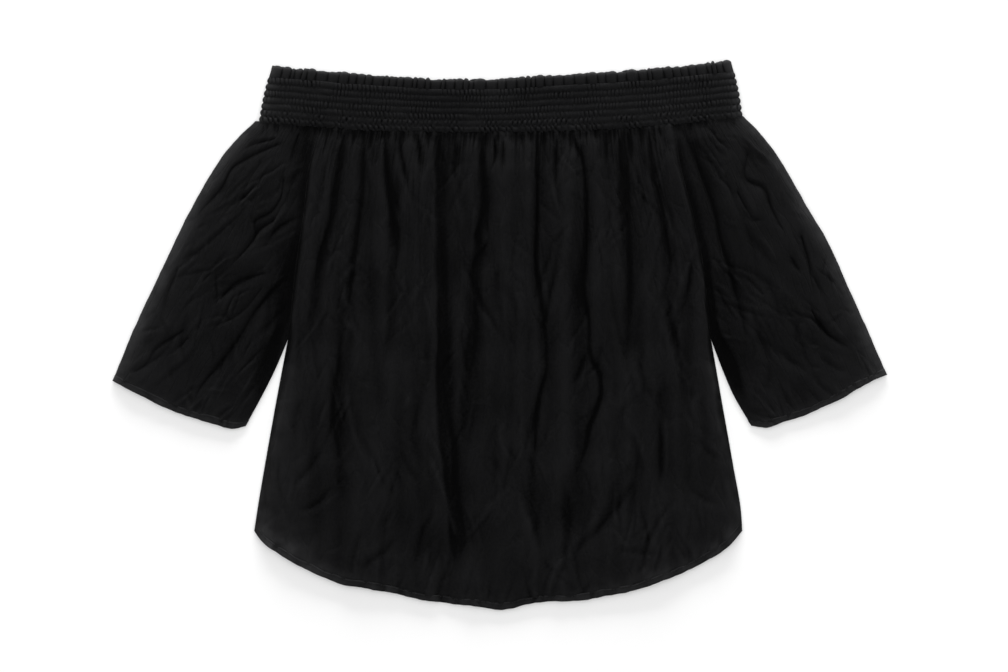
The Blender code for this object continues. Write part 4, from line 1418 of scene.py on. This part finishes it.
def round_neck(column, bulge, end_bulge):
    """Shares across the neck for a ring whose ends are rounded, and how far in from them each is."""
    across, _, outward = column
    inner = across * (1 - 2 * bulge / NECK_WIDTH) + bulge / NECK_WIDTH
    return inner + outward * end_bulge / NECK_WIDTH, np.minimum(across, 1 - across) * NECK_WIDTH


def make_band(cloth, thread):
    """The shirred band: rows of elastic, and between them puffs of puckered cloth."""
    columns = ring_steps(*BAND_COLUMNS)
    rows = (ELASTIC_ROWS - 1) * STEPS_PER_PUFF
    phases = np.random.default_rng(PUCKER_SEED).uniform(0, 2 * math.pi, ELASTIC_ROWS)
    fulls, puckers, widths = mm([(puff.height, puff.pucker, puff.width) for puff in PUFFS]).T
    slants, crossings = np.array([(puff.slant, puff.crossing) for puff in PUFFS]).T

    def place(step, row):
        column, share = columns[:, step], row / rows
        layer = column[1]
        puff = np.minimum(row // STEPS_PER_PUFF, len(PUFFS) - 1)
        part = row / STEPS_PER_PUFF - puff
        full = np.sin(math.pi * part) ** PUFF_ROUND
        bulge = PUFF_BULGE * full + BAND_BULGE
        spot, from_end = round_neck(column, bulge, bulge + BAND_END_SCALLOP * (full - 0.6))
        places = NECK(spot, between(FRILL_SHARE, 1, share))
        x = places[:, 0]
        spots = on_line(x, 0.03 * puff)
        fullness = 1 + uneven(spots, PUFF_FULLNESS)
        strength = np.clip(PUCKER_SHARE + uneven(spots, PUCKER_STRENGTH), *PUCKER_LIMITS)
        turn = 2 * math.pi * x / widths[puff] + phases[puff] + uneven(spots, PUCKER_TURNS)
        slant = slants[puff] * (part - 0.5) * np.where(puff % 2, 1, -1)
        wave = np.cos(turn + slant) + crossings[puff] * np.cos(turn - slant)
        wave += SLOW_PUCKERS.amount * np.cos(SLOW_PUCKERS.length * turn + SLOW_PUCKERS.shift * puff)
        foot = smoothstep((share - BAND_FOOT_SHARE) / (1 - BAND_FOOT_SHARE))
        raised = fulls[puff] * full * fullness - BAND_FOOT_DROP * foot
        raised += puckers[puff] * strength * wave * between(PUCKERS_AT_ROW, 1, full)
        ragged = uneven(on_line(x), BAND_FOOT_RAG) * foot
        places[:, 1] += uneven(on_line(x, 0.02 * share), ROW_WANDER) + ragged
        # Painted light at the band's ends, and painted shade in the dips of its puckers.
        thin = painted_glow(from_end, BAND_GLOW) * between(0.35, 1, full)
        dip = np.clip(strength * (0.3 - 0.5 * wave) * puckers[puff] / puckers[0], 0, 1.4)
        height = between(LOW_BAND - LOW_PUFF_HEIGHT * full, BAND_HIGH + raised, layer)
        return np.column_stack([places, height]), Marks(thin, PUCKER_SHADE * dip * layer)

    grid = (columns.shape[1] - 1, rows)
    band = lay_cloth(
        "neck_band", grid, place, BAND_CUT, cloth, BAND_PASSES, ring=True, contrast=BAND_CONTRAST
    )
    steps = np.arange(sum(BAND_COLUMNS[:2]) - STITCHES_END, sum(BAND_COLUMNS))
    elastic = range(0, rows + 1, STEPS_PER_PUFF)
    name = "neck_band_elastic"
    return band, sew(name, "neck_band", place, steps, elastic, BAND_CLOTH, SHIRR_STITCH, thread)


def ruffle_edges():
    """Where the valleys between the ruffles lie across the neck, as shares of its width."""
    dice = np.random.default_rng(RUFFLE_EDGE_SEED)
    width = length_of(NECK_TOP(np.linspace(0, 1, 50)))
    edges = [0.0]
    while edges[-1] < 1:
        widths = NARROW_RUFFLES if dice.random() < NARROW_SHARE else RUFFLE_WIDTHS
        edges.append(edges[-1] + dice.uniform(*widths) / width)
    return np.array(edges) / edges[-1]


def make_frill(cloth):
    """The ruffled heading above the first row of elastic."""
    columns = ring_steps(*FRILL_COLUMNS)
    edges = ruffle_edges()
    dice = np.random.default_rng(RUFFLE_SEED)
    heights = dice.uniform(*RUFFLE_HEIGHTS, len(edges))
    leans = dice.uniform(*RUFFLE_LEANS, len(edges))

    def place(step, row):
        column, down = columns[:, step], row / FRILL_ROWS
        layer = column[1]
        free = 1 - down
        bulge = FRILL_BULGE + FRILL_BULGE * free
        spot, from_end = round_neck(column, bulge, bulge)
        wander = uneven(on_line(spot, 0.3 * down), RUFFLE_WANDER) * free
        shifted = np.clip(spot + wander + np.where(layer < 0.5, LOW_RUFFLE_SHIFT, 0), 0, 1)
        which = np.clip(np.searchsorted(edges, shifted) - 1, 0, len(edges) - 2)
        span = edges[which + 1] - edges[which]
        part = (shifted - edges[which]) / span
        slot = np.minimum(part, 1 - part) * span * NECK_WIDTH
        part = np.clip(part + leans[which] * part * (1 - part), 0, 1)
        lobe = np.sin(math.pi * part) ** RUFFLE_ROUND * heights[which]
        places = NECK(spot, down * (FRILL_SHARE + FRILL_OVERLAP))
        places[:, 1] += RUFFLE_SCALLOP * (lobe - 0.7 + 0.3 * (heights[which] - 0.9)) * free
        lobe = lobe * between(0.4, 1, free ** 0.8)
        tip = between(0.3, 1, np.sqrt(np.clip(row / RUFFLE_TIP_ROWS, 0, 1)))
        high = FRILL_HIGH + RUFFLE_HEIGHT * lobe * tip
        height = between(LOW_BAND + LOW_RUFFLE_HEIGHT * lobe, high, layer)
        # Painted light at the frill's edge and ends, and painted shade in its slots and at its foot.
        thin = FRILL_EDGE_GLOW.share * np.exp(-down * FRILL_DEPTH / FRILL_EDGE_GLOW.reach)
        thin = np.clip(painted_glow(from_end, FRILL_END_GLOW) + thin, 0, 1)
        sunk = SLOT_SHADE * hump(slot, SLOT_WIDTH * between(0.7, 1.6, down)) * between(0.6, 1, down)
        sunk = np.maximum(sunk, FRILL_FOOT_SHADE * down ** 3)
        return np.column_stack([places, height]), Marks(thin, sunk * layer)

    grid = (columns.shape[1] - 1, FRILL_ROWS)
    return lay_cloth(
        "neck_frill", grid, place, FRILL_CUT, cloth, FRILL_PASSES, ring=True, contrast=FRILL_CONTRAST
    )


# Finishes.


class Value:
    """A socket of a finish, on which sums can be written."""

    def __init__(self, paint, socket):
        self.paint = paint
        self.socket = socket

    def __add__(self, other):
        return self.paint.sum("ADD", self, other)

    def __sub__(self, other):
        return self.paint.sum("SUBTRACT", self, other)

    def __rsub__(self, other):
        return self.paint.sum("SUBTRACT", other, self)

    def __mul__(self, other):
        return self.paint.sum("MULTIPLY", self, other)

    __radd__ = __add__
    __rmul__ = __mul__


class Paint:
    """The nodes of one finish."""

    def __init__(self, name):
        self.material = bpy.data.materials.new(name)
        self.material.use_nodes = True
        self.tree = self.material.node_tree

    def put(self, socket, value):
        """Links a value to a socket, or sets the socket to a plain one."""
        if isinstance(value, Value):
            self.tree.links.new(value.socket, socket)
        else:
            socket.default_value = value

    def node(self, kind, output, settings=None, **inputs):
        """Adds a node: its type, the output to use, its settings, and its sockets' values."""
        node = self.tree.nodes.new(kind)
        for setting, value in (settings or {}).items():
            setattr(node, setting, value)
        for name, value in inputs.items():
            socket = node.inputs[int(name[1:])] if name[1:].isdigit() else node.inputs[name]
            self.put(socket, value)
        return Value(self, node.outputs[output])

    def sum(self, operation, first, second=0.5):
        """A Math node on one or two values."""
        return self.node("ShaderNodeMath", 0, {"operation": operation}, _0=first, _1=second)

    def mark(self, name):
        """One of the attributes that a piece's mesh carries."""
        return self.node("ShaderNodeAttribute", "Fac", {"attribute_name": name})

    def noise(self, place, kind, output="Fac"):
        """A soft noise at a place."""
        return self.node("ShaderNodeTexNoise", output, Vector=place, Scale=kind.scale, Detail=kind.detail)

    def mix(self, share, first, second):
        """A colour between two others."""
        return self.node("ShaderNodeMix", 2, {"data_type": "RGBA"}, _0=share, _6=first, _7=second)

    def finished(self, sockets):
        """The material, once the shader's sockets have their values."""
        shader = self.tree.nodes["Principled BSDF"]
        for name, value in sockets.items():
            self.put(shader.inputs[name], value)
        return self.material


def cloth_finish(name, shades):
    """A black cotton weave, finely crinkled: painted darker in its folds and paler on its crests, and
    painted light near its thin edges.
    """
    paint = Paint(name)
    place = paint.node("ShaderNodeTexCoord", "Object")
    cut = paint.node("ShaderNodeTexCoord", "UV")
    lengthwise = paint.node("ShaderNodeMapping", 0, Vector=cut, Scale=PLEAT_STRETCH)
    shade_and_highlight, thin, drawn = (paint.mark(mark) for mark in ("crest", "thin", "drawn"))
    cloudy = paint.noise(place, CLOUDY)
    mottled = paint.noise(place, MOTTLED)
    pleated = paint.noise(lengthwise, PLEATED)
    # Painted shade in the valleys and highlight on the crests, random tone, and painted shade of fine
    # pleats.
    share = shade_and_highlight + (cloudy - 0.5) * CLOUDY.amount + (mottled - 0.5) * MOTTLED.amount
    share = share + (pleated - 0.5) * drawn * PLEATED.amount
    colour = paint.mix(share, (*shades.valley, 1), (*shades.crest, 1))
    # Painted light where the table shows through thin cloth, a little even in the valleys.
    colour = paint.mix(thin * (shade_and_highlight + VALLEY_GLOW), colour, (*PAINTED_TABLE_GLOW, 1))

    warp = paint.node("ShaderNodeTexWave", "Fac", {"bands_direction": "X"}, Vector=cut, **WEAVE)
    weft = paint.node("ShaderNodeTexWave", "Fac", {"bands_direction": "Y"}, Vector=cut, **WEAVE)
    # How far a soft noise is from its middle makes sharp pinches of it.
    pinched = paint.sum("ABSOLUTE", paint.noise(place, PINCHED) - 0.5)
    relief = (warp + weft) * WEAVE_RELIEF + paint.noise(place, FINE) * FINE.amount
    relief = relief + pinched * (PINCHED.amount * shades.crinkle) + pleated * drawn * PLEAT_RELIEF
    relief = relief - broken_creases(paint, place, cut) * shades.crinkle
    return paint.finished({
        "Base Color": colour,
        "Roughness": ROUGHNESS + (cloudy - 0.5) * ROUGHNESS_RANGE,
        **CLOTH_GLOSS,
        "Normal": paint.node("ShaderNodeBump", 0, Height=relief, Strength=1.0, Distance=1.0),
    })


def broken_creases(paint, place, cut):
    """Thin creases that branch and break off, as in cotton that has been crushed, from 0 to 1."""
    unsteady = paint.noise(place, CREASE_BEND, "Color")
    settings = {"operation": "MULTIPLY_ADD"}
    bent = paint.node("ShaderNodeVectorMath", 0, settings, _0=unsteady, _1=CREASE_BEND.amount, _2=cut)
    worn = paint.noise(place, CREASE_WEAR)
    total = 0
    for net in CREASE_NETS:
        turned = paint.node(
            "ShaderNodeMapping", 0, Vector=bent, Rotation=(0, 0, net.turn), Scale=(1, net.length, 1)
        )
        settings = {"feature": "DISTANCE_TO_EDGE"}
        edges = paint.node("ShaderNodeTexVoronoi", "Distance", settings, Vector=turned, Scale=net.scale)
        groove = paint.sum("MAXIMUM", 1 - edges * net.sharpness, 0)
        settings = {"interpolation_type": "SMOOTHSTEP"}
        shown = paint.node("ShaderNodeMapRange", 0, settings, _0=worn, _1=net.worn, _2=net.worn_through)
        total = groove * shown * net.depth + total
    return total


def plain_finish(name, colour, roughness, gloss):
    """A finish that is the same all over."""
    sockets = {"Base Color": (*colour, 1), "Roughness": roughness, "Specular IOR Level": gloss}
    return Paint(name).finished(sockets)


# The studio.


def make_table():
    """The plain surface that the blouse lies on."""
    sheet = bmesh.new()
    bmesh.ops.create_grid(sheet, x_segments=1, y_segments=1, size=TABLE_SIZE)
    bmesh.ops.translate(sheet, verts=sheet.verts, vec=(0, 0, -TABLE_DROP))
    mesh = bpy.data.meshes.new("table")
    sheet.to_mesh(mesh)
    sheet.free()
    mesh.materials.append(plain_finish("white_table", TABLE_WHITE, 0.9, 0.1))
    table = bpy.data.objects.new("table", mesh)
    bpy.context.scene.collection.objects.link(table)


def make_studio():
    """A softbox beyond the neck, an even white surround, and the camera straight above."""
    world = bpy.data.worlds.new("studio")
    world.use_nodes = True
    backdrop = world.node_tree.nodes["Background"]
    backdrop.inputs["Color"].default_value = (1, 1, 1, 1)
    backdrop.inputs["Strength"].default_value = SURROUND
    bpy.context.scene.world = world
    bpy.context.scene.view_settings.view_transform = "Standard"
    for name, softbox in SOFTBOXES.items():
        light = bpy.data.lights.new(name, "AREA")
        light.shape = "RECTANGLE"
        light.size, light.size_y = softbox.size
        light.energy = softbox.power
        lamp = bpy.data.objects.new(name, light)
        lamp.location = softbox.place
        lamp.rotation_euler = (-lamp.location).to_track_quat("-Z", "Y").to_euler()
        lamp.visible_camera = False
        bpy.context.scene.collection.objects.link(lamp)
    lens = bpy.data.cameras.new("camera")
    lens.lens = LENS
    lens.sensor_width = SENSOR
    camera = bpy.data.objects.new("camera", lens)
    camera.location = (*mm(FRAME_MIDDLE), FRAME_WIDTH * LENS / SENSOR + CLOTH_TOP)
    bpy.context.scene.collection.objects.link(camera)
    bpy.context.scene.camera = camera


def make_blouse():
    """Every piece, and what each sheet of cloth was cut to."""
    body = Cloth(cloth_finish("body_cotton", BODY_SHADES), CLOTH, "body_cloth")
    shirred = Cloth(cloth_finish("shirred_cotton", SHIRRED_SHADES), BAND_CLOTH, "shirred_cloth")
    hems = Cloth(cloth_finish("hem_cotton", HEM_SHADES), HEM_CLOTH, "hem_cloth")
    thread = Cloth(plain_finish("black_thread", THREAD_BLACK, 0.7, 0.08), 0, "hem_cloth")
    back = make_panel("body_back", BACK_GRID, PANEL_CUT, HEM_DEPTH + LAY, lay_back, body)
    front = make_panel("body_front", FRONT_GRID, PANEL_CUT, HEM_DEPTH - LAP, lay_front, body)
    hem_front, place = make_hem("hem_front", FRONT_HEM_COLUMNS, 1, hems)
    steps = np.arange(STITCHES_START, FRONT_HEM_COLUMNS + STITCHES_END)
    hem_stitches = sew("hem_front_stitches", "hem_front", place, steps, (1,), HEM_CLOTH, HEM_STITCH, thread)
    hem_back, _ = make_hem("hem_back", BACK_HEM_COLUMNS, 0, hems)
    right_sleeve, right_trim = make_sleeve(RIGHT, body, hems, thread)
    left_sleeve, left_trim = make_sleeve(LEFT, body, hems, thread)
    band, elastic = make_band(shirred, thread)
    frill = make_frill(shirred)


make_table()
make_blouse()
make_studio()
